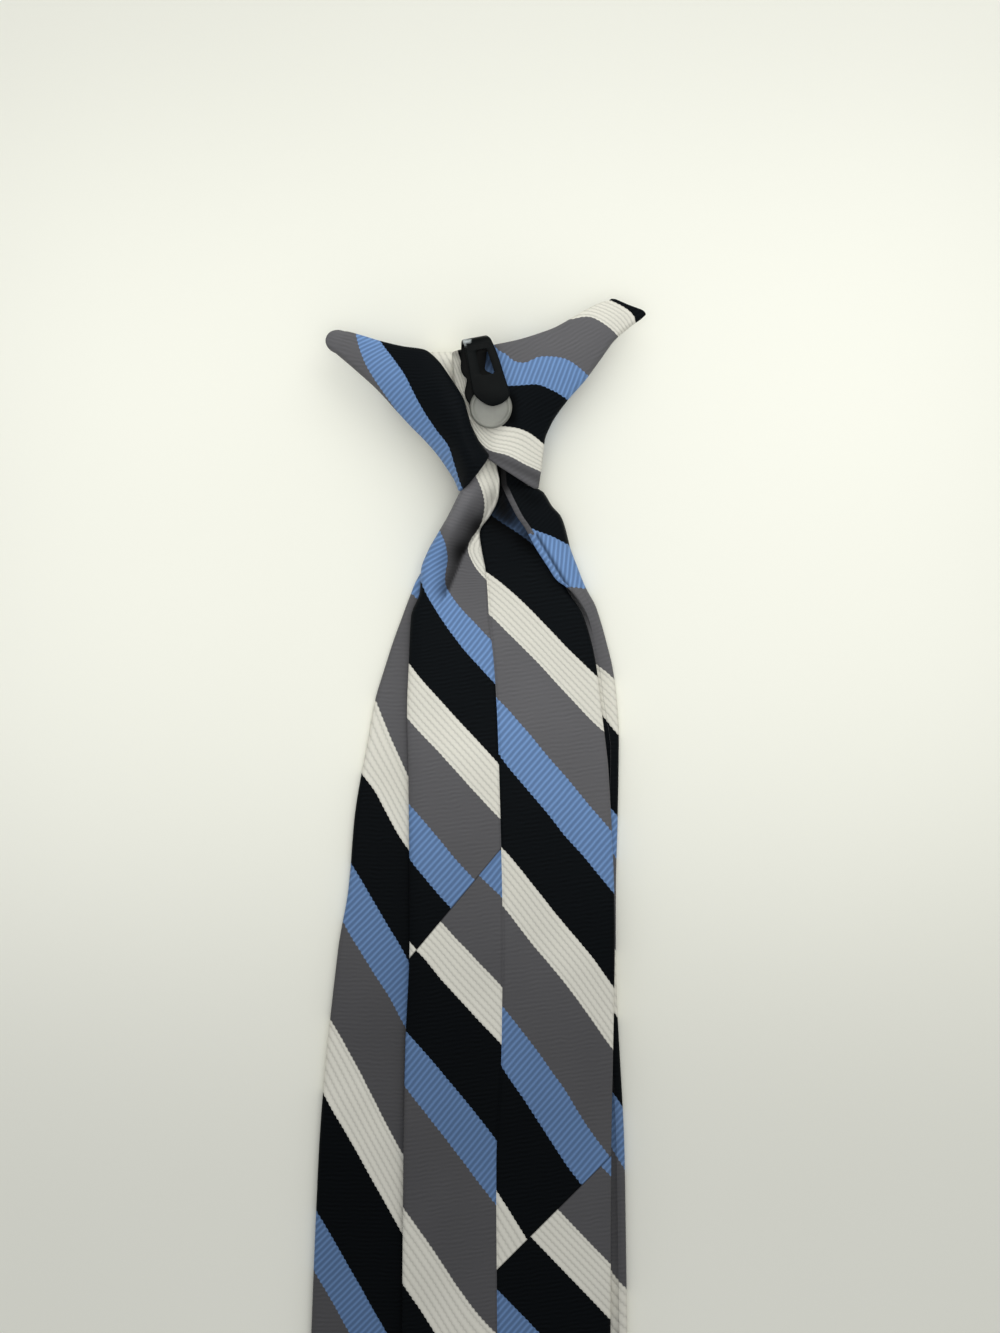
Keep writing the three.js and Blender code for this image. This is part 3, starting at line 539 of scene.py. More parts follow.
class Strip:
    """Stripes on a strip so narrow that only the way down it counts, from (down, phase) pairs."""

    grain = FLAT_GRAIN

    def __init__(self, pairs):
        self.pairs = np.array(pairs, float)

    def at(self, x, down):
        return np.interp(down, *self.pairs.T) + 0 * np.asarray(x)


LEVEL_START, LEVEL_RATE = 0.3, 0.0135


class Level:
    """Stripes at one slope all over, for what hardly shows."""

    def __init__(self, x_rate, grain=FLAT_GRAIN):
        self.x_rate, self.grain = x_rate, grain

    def at(self, x, down):
        return LEVEL_START + self.x_rate * np.asarray(x) - LEVEL_RATE * np.asarray(down)


# ---- rings ----
def spread(start, stop, count):
    """Evenly spaced places, the last one left out."""
    return np.linspace(start, stop, count, endpoint=False)


def arc(start, stop, count):
    """Angles from start to stop in degrees, as radians, the last one left out."""
    return np.radians(start + (stop - start) * np.arange(count) / count)


def fullness(off):
    """How round a folded edge is at off, its distance from the edge as a share of the fold."""
    return np.where(off >= 1, 1, np.sqrt(np.clip(1 - (1 - off) ** 2, 0, 1)))


def pointed(row, end, middle):
    """A row narrowed to the blade's right-angled point, which ends at end."""
    reach = max(end - row["down"], 0) + POINT_HALF
    flat = dict(row, left=max(row["left"], middle - reach), right=min(row["right"], middle + reach))
    if "seam" in row:
        share = min(reach / TAIL_HALF, 1)
        for name in ("crest", "valley", "seam"):
            flat[name] = middle + (row[name] - middle) * share
    return flat


def steps(end, half, long):
    """Places down a blade: close together where it folds, long apart below that, and close at its point."""
    near = np.linspace(FIRST_DOWN, FOLDS_END, round((FOLDS_END - FIRST_DOWN) / FINE_STEP) + 1)
    far = np.linspace(FOLDS_END, end - half, math.ceil((end - half - FOLDS_END) / long) + 1)
    return np.r_[near, far[1:], np.linspace(end - half, end, POINT_STEPS)[1:]]


# Points across the tail: left fold, left panel, both sides of the seam, right panel, right fold, front
TAIL_SPLIT = (10, 34, 5, 5, 34, 10, 26)
SEAM_GROOVE, GROOVE_WIDE, FOLD_DROP = 0.35, 0.45, 0.8


def tail_ring(down):
    row = pointed(TAIL.at(down), TAIL_END, TAIL_MIDDLE)
    left, right, seam = row["left"], row["right"], row["seam"]
    width = right - left
    fold = min(TAIL_THICK / 2, width / 2.5)
    near = min(0.9, width / 12)
    share = min(width / 20, 1)
    a, b, c, d, e, f, g = TAIL_SPLIT
    groove = SEAM_GROOVE * share
    places = [left, row["crest"], row["valley"], seam - groove, seam + groove, right]
    crest, top = row["zCrest"], row["zSeam"]
    heights = [crest - FOLD_DROP, crest, row["zValley"], top, top - row["drop"], row["zRight"]]

    def levels(x):
        """The underside, half the thickness, and how round the fold is."""
        under = row["under"] + (x - left) / width * (row["underRight"] - row["under"])
        return under, (smooth(places, heights, x) - under) / 2, fullness(np.minimum(x - left, right - x) / fold)

    bend = 1 - np.cos(np.linspace(0, np.pi / 2, a + 1))[:a]
    xs = np.concatenate([
        left + fold * bend,
        spread(left + fold, seam - near, b),
        spread(seam - near, seam, c),
        spread(seam, seam + near, d),
        spread(seam + near, right - fold, e),
        right - fold * bend[::-1][:f],
    ])
    under, half, full = levels(xs)
    upper = under + half * (1 + full) - groove * np.exp(-((xs - seam) / GROOVE_WIDE) ** 2)
    front = left + fold * 0.15 + np.linspace(1, 0, g + 2)[1:-1] * (width - 0.3 * fold)
    under, half, full = levels(front)
    lower = under + half * (1 - full)
    return np.c_[np.r_[xs, front], np.full(len(xs) + g, down), np.r_[upper, lower]]


def blade_ring(down):
    row = pointed(BLADE.at(down), TIE_LENGTH, BLADE_MIDDLE)
    left, right, under, thick = row["left"], row["right"], row["under"], row["thick"]
    flap_top, fold_top = row["flapTop"], row["foldTop"]
    top = under + thick
    width = right - left
    fold = min(thick / 2, width / 5)
    inner = right - min(BLADE_WALL, width / 3)
    edge = min(row["edge"], inner - min(FLAP_STUB, width / 10))
    tall = (fold_top - under) / 2
    bulge = min(fold, tall, (right - inner) * 0.85)
    start = right - bulge
    middle = under + thick / 2

    def flap_at(x):
        return fold_top + (flap_top - fold_top) * ((start - x) / (start - edge))

    def flap_under_at(x):
        return np.maximum(flap_at(x) - row["flapThick"], top + COLLAPSED / 2)

    parts = []

    def add(name, x, z):
        parts.append((name, x, z + 0 * x))

    def add_fold(name, turn):
        add(name, left + fold + fold * np.cos(turn), middle + thick / 2 * np.sin(turn))

    def add_bulge(name, turn):
        add(name, start + bulge * np.cos(turn), under + tall * (1 + np.sin(turn)))

    add_fold("front", arc(180, 270, 8))
    add("front", spread(left + fold, start, 36), under)
    add_bulge("front", arc(-90, 0, 8))
    add_bulge("right", arc(0, 90, 8))
    hem = min(row["flapThick"] * HEM_ROLL, (start - edge) / 4)
    xs = spread(start, edge + hem, 26)
    add("right", xs, flap_at(xs))
    low = flap_under_at(edge)
    turn = arc(90, 270, 10)
    add("hem", edge + hem + hem * np.cos(turn), (flap_top + low) / 2 + (flap_top - low) / 2 * np.sin(turn))
    xs = spread(edge + hem, inner, 14)
    add("hem", xs, flap_under_at(xs))
    add("hem", np.full(4, inner), spread(flap_under_at(inner), top, 4))
    split = min(inner - 0.5, max(left + fold + 0.5, BLADE_MIDDLE + 0.5))
    add("right", spread(inner, split, 22), top)
    add("left", spread(split, left + fold, 34), top)
    add_fold("left", arc(90, 180, 8))
    names = [name for name, x, _ in parts for _ in x]
    x, z = (np.concatenate([part[i] for part in parts]) for i in (1, 2))
    return names, np.c_[x, np.full(len(x), down), z]


def knot_ring(down):
    row = KNOT.at(down)
    middle, half = (row["left"] + row["right"]) / 2, (row["right"] - row["left"]) / 2
    inside = half - row["wall"]

    def crown_at(x):
        off = np.abs(x - middle) / half
        return row["shoulder"] + (row["crown"] - row["shoulder"]) * (1 - off**2.5)

    def bottom_at(x):
        side = np.maximum((np.abs(x - middle) / half - FLAT_SHARE) / (1 - FLAT_SHARE), 0)
        return row["lift"] + (row["shoulder"] - LIP - row["lift"]) * side**2

    def wall_top(side):
        x = middle + side * (inside + np.array([1, 0.97, 0.75, 0.5, 0.25, 0.05]) * row["wall"])
        z = crown_at(x)
        z[0] = row["shoulder"] - LIP / 3
        return np.c_[x, z]

    xs = row["left"] + np.linspace(0, 1, 49) * 2 * half
    x = middle + np.linspace(0.97, -0.97, 25) * inside
    pocket = np.c_[x, crown_at(x) * (1 - row["pocket"]) + POCKET_FLOOR * row["pocket"]]
    x, z = np.concatenate([np.c_[xs, bottom_at(xs)], wall_top(1), pocket, wall_top(-1)[::-1]]).T
    return np.c_[x, np.full(len(x), down), z]


def wing_ring(row, ahead=0.0, full=1.0, narrow=1.0):
    """A section across a wing, moved ahead along it, its thickness and width as shares of the row's."""
    run = np.array([row["lx"] - row["ux"], row["ld"] - row["ud"]])
    wide = float(np.hypot(*run))
    forward_dir = np.array([-run[1], run[0]]) / wide
    fold = min(row["thick"] / 2, wide / 3) / wide
    bend = fold * (1 - np.cos(np.linspace(0, np.pi / 2, 9)))[:-1]
    over = np.r_[bend, np.linspace(fold, 1 - fold, 44), (1 - bend)[::-1]]
    below = np.r_[bend[1:], np.linspace(fold, 1 - fold, 24), (1 - bend)[::-1][:-1]][::-1]
    made = []
    for share, side in ((over, 1), (below, -1)):
        t = 0.5 + (share - 0.5) * narrow
        curve = 4 * t * (1 - t)
        forward = row["bow"] * curve + ahead
        x = row["ux"] + t * run[0] + forward_dir[0] * forward
        down = row["ud"] + t * run[1] + forward_dir[1] * forward
        z = row["uz"] + t**DROOP * (row["lz"] - row["uz"]) + row["rise"] * curve
        z = z + side * row["thick"] / 2 * fullness(np.minimum(share, 1 - share) / fold) * full
        made.append(np.c_[x, down, z])
    return np.concatenate(made), len(over)


def wing_end(row, way, reach, corner):
    """Sections that close a wing: it goes on by reach and pulls its corners in by corner."""
    half = math.hypot(row["lx"] - row["ux"], row["ld"] - row["ud"]) / 2
    made = []
    for angle in (12, 24, 36, 47, 57, 66, 74, 81, 86):
        bend = math.radians(angle)
        narrow = 1 - min(corner, half * 0.98) / half * (1 - math.cos(bend))
        made.append(wing_ring(row, way * reach * math.sin(bend), math.cos(bend) ** 0.6, narrow)[0])
    return made


# ---- the clip and its pad ----
# The clip's own frame: v runs down the tongue from the bend, u across it, z up
CLIP_X, CLIP_DOWN, CLIP_LEAN = -5.1, 12.4, 10.5
CLIP_BASE = Rows("v left right", """
    0 -5.45 2.6
    2.1 -5.85 2.8
    6.3 -6.62 3
    7.6 -6.2 2.9
    8.8 -5.55 2.2
    10.4 -6.1 0.2
    12.3 -6.75 -2.5
    13.6 -6.7 -3.8
    15.2 -6.2 -4.9
    16.2 -5.9 -5.6""")
CLIP_TONGUE = Rows("v left right z", """
    0 -4.5 3 22.66
    0.7 -4.5 3.2 22.62
    3.4 -4.5 3.78 22.46
    9.9 -4.6 4.65 22.04
    12.4 -4.55 4.98 21.88
    13.6 -4.1 5.2 21.79
    14.4 -3.6 5.24 21.72
    15.2 -2.95 4.95 21.66
    16 -2.1 4.3 21.6
    16.6 -1.35 3.3 21.56
    17 -0.6 2.1 21.52
    17.2 0.1 1.2 21.5""")
BASE_LONG, BASE_MIDDLE, BASE_THICK, TONGUE_THICK, BEND_REACH = 16.2, 19.2, 1.2, 1.25, 1.75
PLASTIC_ROUND, WINDOW_CORNER = 0.32, 0.45
TONGUE_WINDOW = [(-1.9, 1.6), (1.2, 1.5), (2.15, 8.6), (-1.6, 8.5)]
BASE_WINDOW = [(1.3, 2), (2.2, 9), (-0.4, 7.2)]
PAD_X, PAD_DOWN, PAD_FOOT = -2.45, 29.55, 18.55
# radius, height
PAD_PROFILE = numbers("5.35 0, 5.68 0.25, 5.72 0.7, 5.7 1.2, 5.6 1.55, 5.38 1.8, 5.1 1.9, 4.8 1.86, 4.55 1.74, "
                      "4.2 1.7, 2.5 1.72, 0.9 1.74")


def from_clip(u, v):
    """x and down of a place in the clip's own frame."""
    lean = math.radians(CLIP_LEAN)
    return (CLIP_X + u * math.cos(lean) + v * math.sin(lean),
            CLIP_DOWN - u * math.sin(lean) + v * math.cos(lean))


def bar_ring(v, z, way_v, way_z, left, right, thick):
    """A rounded rectangle across the clip's band: left to right, and thick along (way_v, way_z)."""
    corner = min(PLASTIC_ROUND, thick / 2.2, (right - left) / 2.2)
    ring = []
    for side, level, first in ((1, 1, 90), (1, -1, 0), (-1, -1, -90), (-1, 1, -180)):
        for step in range(5):
            turn = math.radians(first - 22.5 * step)
            u = (right if side > 0 else left) - side * corner + corner * math.cos(turn)
            h = level * (thick / 2 - corner) + corner * math.sin(turn)
            x, down = from_clip(u, v + way_v * h)
            ring.append((x, down, z + way_z * h))
    return ring


def solid_mesh(name, rings):
    """A closed mesh object through rings of points, with its ends closed."""
    rings = np.asarray(rings, float)
    made = piece(name, rings.reshape(-1, 3), [corners for corners, _ in skin(*rings.shape[:2])], {}, None)
    turn_outward(made)
    return made


def prism(name, outline, low, high):
    """A cutter through the clip, from a list of (u, v), with its corners a little rounded."""
    rounded = []
    for i, (u, v) in enumerate(outline):
        for other in (outline[i - 1], outline[(i + 1) % len(outline)]):
            share = WINDOW_CORNER / math.hypot(other[0] - u, other[1] - v)
            rounded.append((u + (other[0] - u) * share, v + (other[1] - v) * share))
    return solid_mesh(name, [[(*from_clip(u, v), z) for u, v in rounded] for z in (low, high)])


def clip_piece(material):
    """The spring clip: one band that runs up the base, round the bend and down the tongue, with two windows."""
    rings = []
    for v in np.linspace(BASE_LONG, 0, 46):
        row = CLIP_BASE.at(v)
        rings.append(bar_ring(v, BASE_MIDDLE, 0, -1, row["left"], row["right"], BASE_THICK))
    top, foot = CLIP_TONGUE.at(0), CLIP_BASE.at(0)
    rise = top["z"] - BASE_MIDDLE
    for angle in np.linspace(-75, 75, 11):
        turn = math.radians(angle)
        share = (1 + math.sin(turn)) / 2
        left = foot["left"] + share * (top["left"] - foot["left"]) + 0.1 * math.cos(turn)
        right = foot["right"] + share * (top["right"] - foot["right"]) - 0.9 * math.cos(turn) ** 3
        rings.append(bar_ring(-BEND_REACH * math.cos(turn) + 0.45, BASE_MIDDLE + rise * share,
                              -math.cos(turn), math.sin(turn), left, right, BASE_THICK + 0.05 * share))
    for v in np.r_[np.linspace(0, 17, 60), 17.12, 17.2]:
        row = CLIP_TONGUE.at(v)
        rings.append(bar_ring(v, row["z"], 0, 1, row["left"], row["right"], TONGUE_THICK))
    made = solid_mesh("clip_spring", rings)
    cutters = [prism("tongue_cutter", TONGUE_WINDOW, 20.6, 24.5), prism("base_cutter", BASE_WINDOW, 17.5, 20.3)]
    for cutter in cutters:
        cut = made.modifiers.new(cutter.name, "BOOLEAN")
        cut.operation, cut.solver, cut.object = "DIFFERENCE", "EXACT", cutter
    soften = made.modifiers.new("soften", "BEVEL")
    soften.width, soften.segments = 0.12 * MM, 2
    soften.limit_method, soften.angle_limit = "ANGLE", math.radians(50)
    bpy.context.view_layer.update()
    shaped = made.evaluated_get(bpy.context.evaluated_depsgraph_get())
    final = bpy.data.meshes.new_from_object(shaped)
    made.modifiers.clear()
    made.data = final
    for cutter in cutters:
        bpy.data.objects.remove(cutter)
    final.materials.clear()
    final.materials.append(material)
    final.shade_smooth()
    final.set_sharp_from_angle(angle=math.radians(40))
    return made


def pad_piece(material):
    """The round pad: a dished disc with a rolled rim."""
    turns = arc(0, 360, 72)
    rings = [[(PAD_X + radius * math.cos(t), PAD_DOWN + radius * math.sin(t), PAD_FOOT + z) for t in turns]
             for radius, z in PAD_PROFILE]
    made = solid_mesh("clip_round_pad", rings)
    made.data.materials.append(material)
    made.data.set_sharp_from_angle(angle=math.radians(60))
    return made


# ---- materials ----
class Graph:
    """Short words for building a material's nodes."""

    def __init__(self, name):
        self.material = bpy.data.materials.new(name)
        self.material.use_nodes = True
        self.tree = self.material.node_tree
        self.shader = self.tree.nodes["Principled BSDF"]

    def add(self, kind, **settings):
        node = self.tree.nodes.new(kind)
        for key, value in settings.items():
            setattr(node, key, value)
        return node

    def put(self, value, socket):
        if isinstance(value, bpy.types.NodeSocket):
            self.tree.links.new(value, socket)
        else:
            socket.default_value = value

    def math(self, operation, *values):
        node = self.add("ShaderNodeMath", operation=operation)
        for value, socket in zip(values, node.inputs):
            self.put(value, socket)
        return node.outputs[0]

    def sum(self, *values):
        return functools.reduce(lambda total, value: self.math("ADD", total, value), values)

    def times(self, *values):
        return functools.reduce(lambda total, value: self.math("MULTIPLY", total, value), values)

    def minus(self, value, less):
        return self.math("SUBTRACT", value, less)

    def above(self, value, limit):
        return self.math("GREATER_THAN", value, limit)

    def line(self, value, slope, start):
        return self.math("MULTIPLY_ADD", value, slope, start)

    def mix(self, share, a, b):
        node = self.add("ShaderNodeMix", data_type="FLOAT")
        for value, socket in zip((share, a, b), (node.inputs[0], node.inputs[2], node.inputs[3])):
            self.put(value, socket)
        return node.outputs[0]

    def wave(self, along, length):
        """0 to 1 and back, once in each length."""
        turned = self.math("SINE", self.times(along, 2 * math.pi / length))
        return self.line(turned, 0.5, 0.5)

    def uv(self, name):
        """The two numbers of a UV map, in millimetres and repeats."""
        split = self.add("ShaderNodeSeparateXYZ")
        self.put(self.add("ShaderNodeUVMap", uv_map=name).outputs[0], split.inputs[0])
        return split.outputs[0], split.outputs[1]

    def place(self):
        return self.add("ShaderNodeTexCoord").outputs["Object"]

    def noise(self, scale, detail=2.0):
        place = self.place()
        node = self.add("ShaderNodeTexNoise")
        self.put(place, node.inputs["Vector"])
        node.inputs["Scale"].default_value, node.inputs["Detail"].default_value = scale, detail
        return node.outputs["Fac"]

    def within(self, value, low, high):
        return self.times(self.above(value, low), self.math("LESS_THAN", value, high))

    def ramp(self, value, stops, interpolation="LINEAR"):
        node = self.add("ShaderNodeValToRGB")
        node.color_ramp.interpolation = interpolation
        for _ in stops[2:]:
            node.color_ramp.elements.new(0.5)
        for element, (position, colour) in zip(node.color_ramp.elements, stops):
            element.position = position
            element.color = (*colour, 1)
        self.put(value, node.inputs[0])
        return node.outputs[0]

    def scale(self, colour, share):
        node = self.add("ShaderNodeVectorMath", operation="SCALE")
        self.put(colour, node.inputs[0])
        self.put(share, node.inputs["Scale"])
        return node.outputs[0]

    def bump(self, height, metres, strength):
        node = self.add("ShaderNodeBump")
        node.inputs["Strength"].default_value = strength
        node.inputs["Distance"].default_value = metres
        self.put(height, node.inputs["Height"])
        self.put(node.outputs[0], self.shader.inputs["Normal"])

    def set(self, **values):
        for name, value in values.items():
            self.put(value, self.shader.inputs[name.replace("_", " ")])
        return self.material


def linear(red, green, blue):
    """A colour given as 0 to 255 on screen, as light."""
    return tuple(((v / 255 + 0.055) / 1.055) ** 2.4 if v > 10 else v / 255 / 12.92 for v in (red, green, blue))


WHITE_CLOTH = linear(223, 220, 210)
GREY_CLOTH = linear(97, 96, 99)
BLUE_CLOTH = linear(106, 137, 183)
BLACK_CLOTH = linear(14, 17, 20)
# The white stripes' cords in each stripe, and how long their dashes, the blue ribs and the fine ribs are
CORDS, CORD_DASH, BLUE_RIB, FINE_RIB = 6.5, 1.3, 1.38, 1.2
SEAM_SHADE = 0.22


def cloth_material():
    """The four colours, each with its own weave: corded white, ribbed blue, finely ribbed grey and black, with
    painted light and shade from the pieces' maps over them.
    """
    g = Graph("woven_striped_cloth")
    run, phase = g.uv("Cloth")
    weft, past = g.uv("Ribs")
    run_below, phase_below = g.uv("ClothBelow")
    weft_below, _ = g.uv("RibsBelow")
    # painted light and shade: the first number darkens or lightens every thread, the second the grey, black and
    # blue threads
    tone, deep = g.uv("PaintedShading")
    below = g.above(past, 0.0)
    run = g.times(g.mix(below, run, run_below), REPEAT)
    phase = g.mix(below, phase, phase_below)
    weft = g.times(g.mix(below, weft, weft_below), REPEAT)
    past = g.times(past, REPEAT)

    uneven = g.noise(140.0, 3.0)
    soft = g.noise(45.0, 2.0)
    wander = g.noise(260.0, 2.0)
    fine = g.wave(g.sum(weft, g.times(wander, 1.3)), FINE_RIB)
    fine_share = g.math("MAXIMUM", g.line(g.noise(330.0, 2.0), 3.2, -1.0), 0.0)
    rib = g.wave(g.sum(run, g.times(wander, 0.25)), BLUE_RIB)
    shift = g.sum(g.times(g.minus(uneven, 0.5), 0.006), g.times(g.minus(rib, 0.5), 0.003))
    part = g.math("FRACT", g.sum(phase, shift))
    plain = g.math("FRACT", phase)

    white = g.math("LESS_THAN", part, GREY)
    blue = g.within(part, BLUE, BLACK)
    black = g.above(part, BLACK)
    dark = g.minus(g.minus(1.0, white), blue)

    cords = g.times(plain, CORDS / GREY)
    cord = g.math("FRACT", cords)
    off = g.times(g.math("ABSOLUTE", g.minus(cord, 0.5)), 2.0)
    valley = g.math("POWER", off, 2.2)
    stagger = g.times(g.math("FLOOR", cords), 0.5 * CORD_DASH)
    dash = g.wave(g.sum(run, stagger), CORD_DASH)

    white_shade = g.minus(1.0, g.times(valley, g.line(dash, 0.16, 0.14)))
    # the blue, grey and black threads take the painted shade of the second number
    blue_shade = g.times(g.line(g.math("POWER", rib, 1.6), 0.5, 0.8), g.math("POWER", deep, 0.8))
    depth = g.line(black, 0.40, 0.17)
    dark_shade = g.times(g.sum(1.0, g.times(g.minus(fine, 0.5), depth, fine_share)), deep)
    shade = g.sum(g.times(white, white_shade), g.times(blue, blue_shade), g.times(dark, dark_shade))
    near_cut = g.math("LESS_THAN", g.math("ABSOLUTE", past), SEAM_SHADE)
    shade = g.times(shade, g.line(near_cut, -0.45, 1.0))
    # random unevenness, then the painted light and shade of the first number, on every thread
    shade = g.times(shade, g.line(soft, 0.2, 0.9), tone)

    colour = g.ramp(part, [(0.0, WHITE_CLOTH), (GREY, GREY_CLOTH), (BLUE, BLUE_CLOTH), (BLACK, BLACK_CLOTH)],
                    "CONSTANT")
    colour = g.scale(colour, shade)

    lift = g.sum(
        g.times(white, g.minus(1.0, valley), 0.14),
        g.times(blue, rib, 0.10),
        g.times(dark, fine, fine_share, 0.035),
        g.times(g.above(past, 0.0), -0.12),
        g.times(uneven, 0.05),
    )
    g.bump(lift, MM, 0.8)
    rough = g.sum(0.55, g.times(white, 0.12), g.times(blue, -0.04))
    return g.set(Base_Color=colour, Roughness=rough, Specular_IOR_Level=g.line(black, -0.035, 0.06),
                 Sheen_Weight=0.012, Sheen_Roughness=0.45)


# Painted shade darkens the plastic below this height, and a painted highlight lies round the corner below, out
# to its reach.
TONGUE_FOOT = 20.3
PAINTED_GLINT_CORNER, PAINTED_GLINT_REACH = (-9.5, 11.6, 22.6), 2.1


def plastic_material():
    """Black plastic, with painted shade below the tongue and a painted highlight on one corner of the bend."""
    g = Graph("black_moulded_plastic")
    grain = g.noise(900.0, 3.0)
    place = g.place()
    split = g.add("ShaderNodeSeparateXYZ")
    g.put(place, split.inputs[0])
    tongue = g.above(split.outputs[2], TONGUE_FOOT * MM)
    colour = g.ramp(g.noise(60.0), [(0.35, linear(6, 8, 9)), (0.7, linear(11, 14, 15))])
    # painted shade: the plastic below the tongue is painted darker
    colour = g.scale(colour, g.line(tongue, 0.7, 0.3))
    # painted highlight: a light spot painted on one corner of the bend
    corner = g.add("ShaderNodeVectorMath", operation="DISTANCE")
    g.put(place, corner.inputs[0])
    x, down, z = PAINTED_GLINT_CORNER
    corner.inputs[1].default_value = ((x + ZERO_X) * MM, (ZERO_Y - down) * MM, z * MM)
    near = g.minus(1.0, g.times(corner.outputs["Value"], 1 / (PAINTED_GLINT_REACH * MM)))
    painted_glint = g.times(g.sum(near, g.times(grain, 1.2), -0.72), 1.5)
    painted_glint = g.math("MINIMUM", g.math("MAXIMUM", painted_glint, 0.0), 1.0)
    blend = g.add("ShaderNodeMix", data_type="RGBA")
    g.put(painted_glint, blend.inputs[0])
    g.put(colour, blend.inputs[6])
    blend.inputs[7].default_value = (*linear(188, 194, 196), 1)
    g.bump(grain, MM * 0.02, 0.5)
    return g.set(Base_Color=blend.outputs[2], Roughness=g.line(grain, 0.12, 0.3),
                 Specular_IOR_Level=0.05)


def pad_material():
    g = Graph("milky_soft_plastic")
    cloud = g.noise(260.0, 3.0)
    colour = g.ramp(cloud, [(0.3, linear(128, 129, 122)), (0.7, linear(147, 147, 139))])
    g.bump(cloud, MM * 0.05, 0.4)
    return g.set(Base_Color=colour, Roughness=g.line(cloud, 0.1, 0.26),
                 Transmission_Weight=0.3, IOR=1.45)


def floor_material():
    g = Graph("pale_table")
    cloud = g.noise(3.0, 3.0)
    colour = g.ramp(cloud, [(0.3, linear(243, 242, 232)), (0.7, linear(247, 246, 237))])
    g.bump(g.noise(400.0, 3.0), MM * 0.05, 0.3)
    return g.set(Base_Color=colour, Roughness=0.75, Specular_IOR_Level=0.2)


# ---- the tie ----
def edges(table):
    """The left and right fold of a blade, at many places down it."""
    sides = [table.values[:, table.columns.index(side)] for side in ("left", "right")]
    return lambda down: [smooth(table.values[:, 0], side, down) for side in sides]


# The slanting seams where the tail's cloth is pieced, across its left and its right panel
LEFT_CUT = ((-24.0, 177.4), (0.4, 148.2))
RIGHT_CUT = ((0.0, 261.1), (30.2, 230.9))

cloth = cloth_material()

rings = [tail_ring(down) for down in steps(TAIL_END, TAIL_HALF, 2.4)]
a, b, c, d, e, f, g = TAIL_SPLIT
strips = ["left"] * (a + b + c) + ["right"] * (d + e + f) + ["front"] * g
# Both tail panels carry painted shade marks, and the left one is painted a little lighter, its grey, black and
# blue threads painted darker, for how the light falls on it.
tail = loft("tail_cloth", rings, strips, {
    "left": Panel(TAIL_LEFT, LEFT_CUT, TAIL_LEFT_BELOW, ROLL_PAINTED_SHADING, tone=1.02, deep=0.92),
    "right": Panel(TAIL_RIGHT, RIGHT_CUT, Level(0.014), NECK_PAINTED_SHADE),
    "front": Panel(Blend(TAIL_LEFT, TAIL_RIGHT, edges(TAIL), 1.0), (LEFT_CUT[0], RIGHT_CUT[1]),
                   Level(-0.014, FRONT_GRAIN)),
}, cloth)

rings = [blade_ring(down)[1] for down in steps(TIE_LENGTH, BLADE_HALF, 2.6)]
# The blade's left panel is painted a little lighter, its grey, black and blue threads painted darker, for how
# the light falls on it; the flap and hem carry painted shade marks.
blade = loft("front_blade_cloth", rings, blade_ring(FIRST_DOWN)[0], {
    "left": Panel(BLADE_LEFT, tone=1.04, deep=0.82),
    "right": Panel(BLADE_RIGHT, hollows=FLAP_PAINTED_SHADE),
    "front": Panel(Blend(BLADE_LEFT, BLADE_RIGHT, edges(BLADE), 1.2)),
    "hem": Panel(Strip(HEM_PHASES), hollows=HEM_PAINTED_SHADE),
}, cloth)


# Sections of a wing for each row of its table
WING_STEPS = 12


def wing(name, table, first, last, turn, tip, root, stripes, hollows=()):
    """A wing from tip to root. turn is 1 where the root is ahead, and tip and root are reach and corner."""
    made = [wing_ring(table.at(first + i / WING_STEPS)) for i in range((last - first) * WING_STEPS + 1)]
    over = made[0][1]
    rings = wing_end(table.at(first), -turn, *tip)[::-1] + [ring for ring, _ in made]
    rings += wing_end(table.at(last), turn, *root)
    strips = ["back"] * over + ["under"] * (len(rings[0]) - over)
    return loft(name, rings, strips, {"back": Panel(stripes, hollows=hollows), "under": Panel(stripes)}, cloth)


# the right wing's wrap carries painted shade marks
right_wing = wing("right_wing_cloth", RIGHT_WING, 0, 12, turn=1, tip=(1.2, 2.1), root=(0.9, 1),
                  stripes=RIGHT_WING_STRIPES, hollows=WRAP_PAINTED_SHADE)
left_wing = wing("left_wing_cloth", LEFT_WING, 1, 11, turn=-1, tip=(4.3, 9), root=(0.7, 0.9),
                 stripes=LEFT_WING_STRIPES)

# the knot's rings lie close together on both sides of the pocket's edge
rings = [knot_ring(down) for down in np.r_[np.linspace(14.4, 37.4, 30), np.linspace(38, 50.2, 20)]]
knot = loft("knot_cloth", rings, ["all"] * len(rings[0]), {"all": Panel(KNOT_STRIPES)}, cloth)

cloth_pieces = ((tail, "tail", 0.2), (blade, "front_blade", 0.2), (right_wing, "right_wing", 0.3),
                (left_wing, "left_wing", 0.3), (knot, "knot", 0.5))
for made, node, fill in cloth_pieces:
    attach(made, "root")
    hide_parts(node)

for made, node, slot in ((clip_piece(plastic_material()), "clip", "clip_plastic"),
                         (pad_piece(pad_material()), "clip_pad", "pad_plastic")):
    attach(made, "root")
    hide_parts(node)

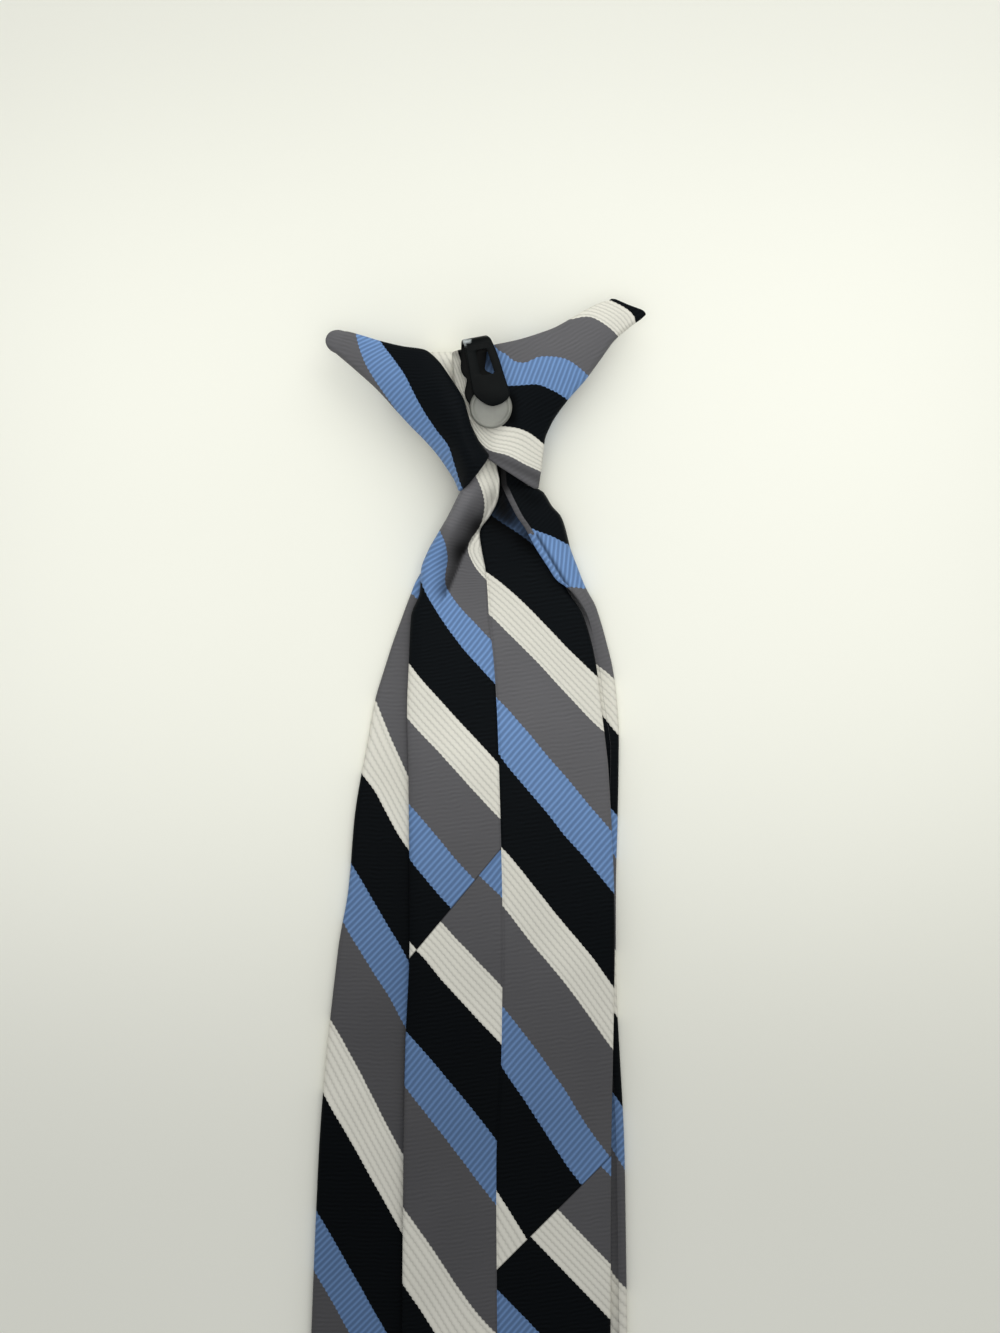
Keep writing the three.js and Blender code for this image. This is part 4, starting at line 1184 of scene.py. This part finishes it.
# ---- stage, light and camera ----
# the table reaches 3 m each way and lies a little below the tie, so that their faces don't meet
TABLE_REACH, TABLE_TOP = 3.0, -0.0002
mesh = bpy.data.meshes.new("table_top")
corners = [(x * TABLE_REACH, y * TABLE_REACH, TABLE_TOP) for x, y in ((-1, -1), (1, -1), (1, 1), (-1, 1))]
mesh.from_pydata(corners, [], [(0, 1, 2, 3)])
mesh.materials.append(floor_material())
floor = bpy.data.objects.new("table_top", mesh)
bpy.context.scene.collection.objects.link(floor)

world = bpy.data.worlds.new("soft_room")
world.use_nodes = True
background = world.node_tree.nodes["Background"].inputs
background["Color"].default_value = (0.98, 1.0, 1.0, 1)
background["Strength"].default_value = 0.53
bpy.context.scene.world = world

LAMP_COLOUR = (0.99, 1.0, 0.955)


def area_light(name, place, aim, size, power, spread=180):
    """A rectangular lamp; spread is how wide it shines, in degrees."""
    data = bpy.data.lights.new(name, "AREA")
    data.shape = "RECTANGLE"
    data.size, data.size_y = size
    data.energy, data.color, data.spread = power, LAMP_COLOUR, math.radians(spread)
    made = bpy.data.objects.new(name, data)
    bpy.context.scene.collection.objects.link(made)
    made.location = place
    made.rotation_euler = (Vector(aim) - Vector(place)).to_track_quat("-Z", "Y").to_euler()
    made.visible_camera = False


area_light("window", (0.10, 0.60, 0.46), (0.0, 0.17, 0.0), (0.45, 0.45), 1.6)
area_light("soft_box", (0.008, 0.172, 0.22), (0.008, 0.172, 0.0), (0.36, 0.215), 0.066, 48.5)

# The camera looks straight down on 0.36 m of the table, with the place 99.2 mm down in the middle.
FRAME_HIGH, FRAME_DOWN, LENS, SENSOR = 0.36, 99.2, 400, 36
camera_data = bpy.data.cameras.new("camera")
camera_data.lens, camera_data.sensor_width, camera_data.clip_end = LENS, SENSOR, 20
camera = bpy.data.objects.new("camera", camera_data)
bpy.context.scene.collection.objects.link(camera)
camera.location = (ZERO_X * MM, (ZERO_Y - FRAME_DOWN) * MM, FRAME_HIGH * LENS / SENSOR)
bpy.context.scene.camera = camera
bpy.context.scene.view_settings.view_transform = "Standard"
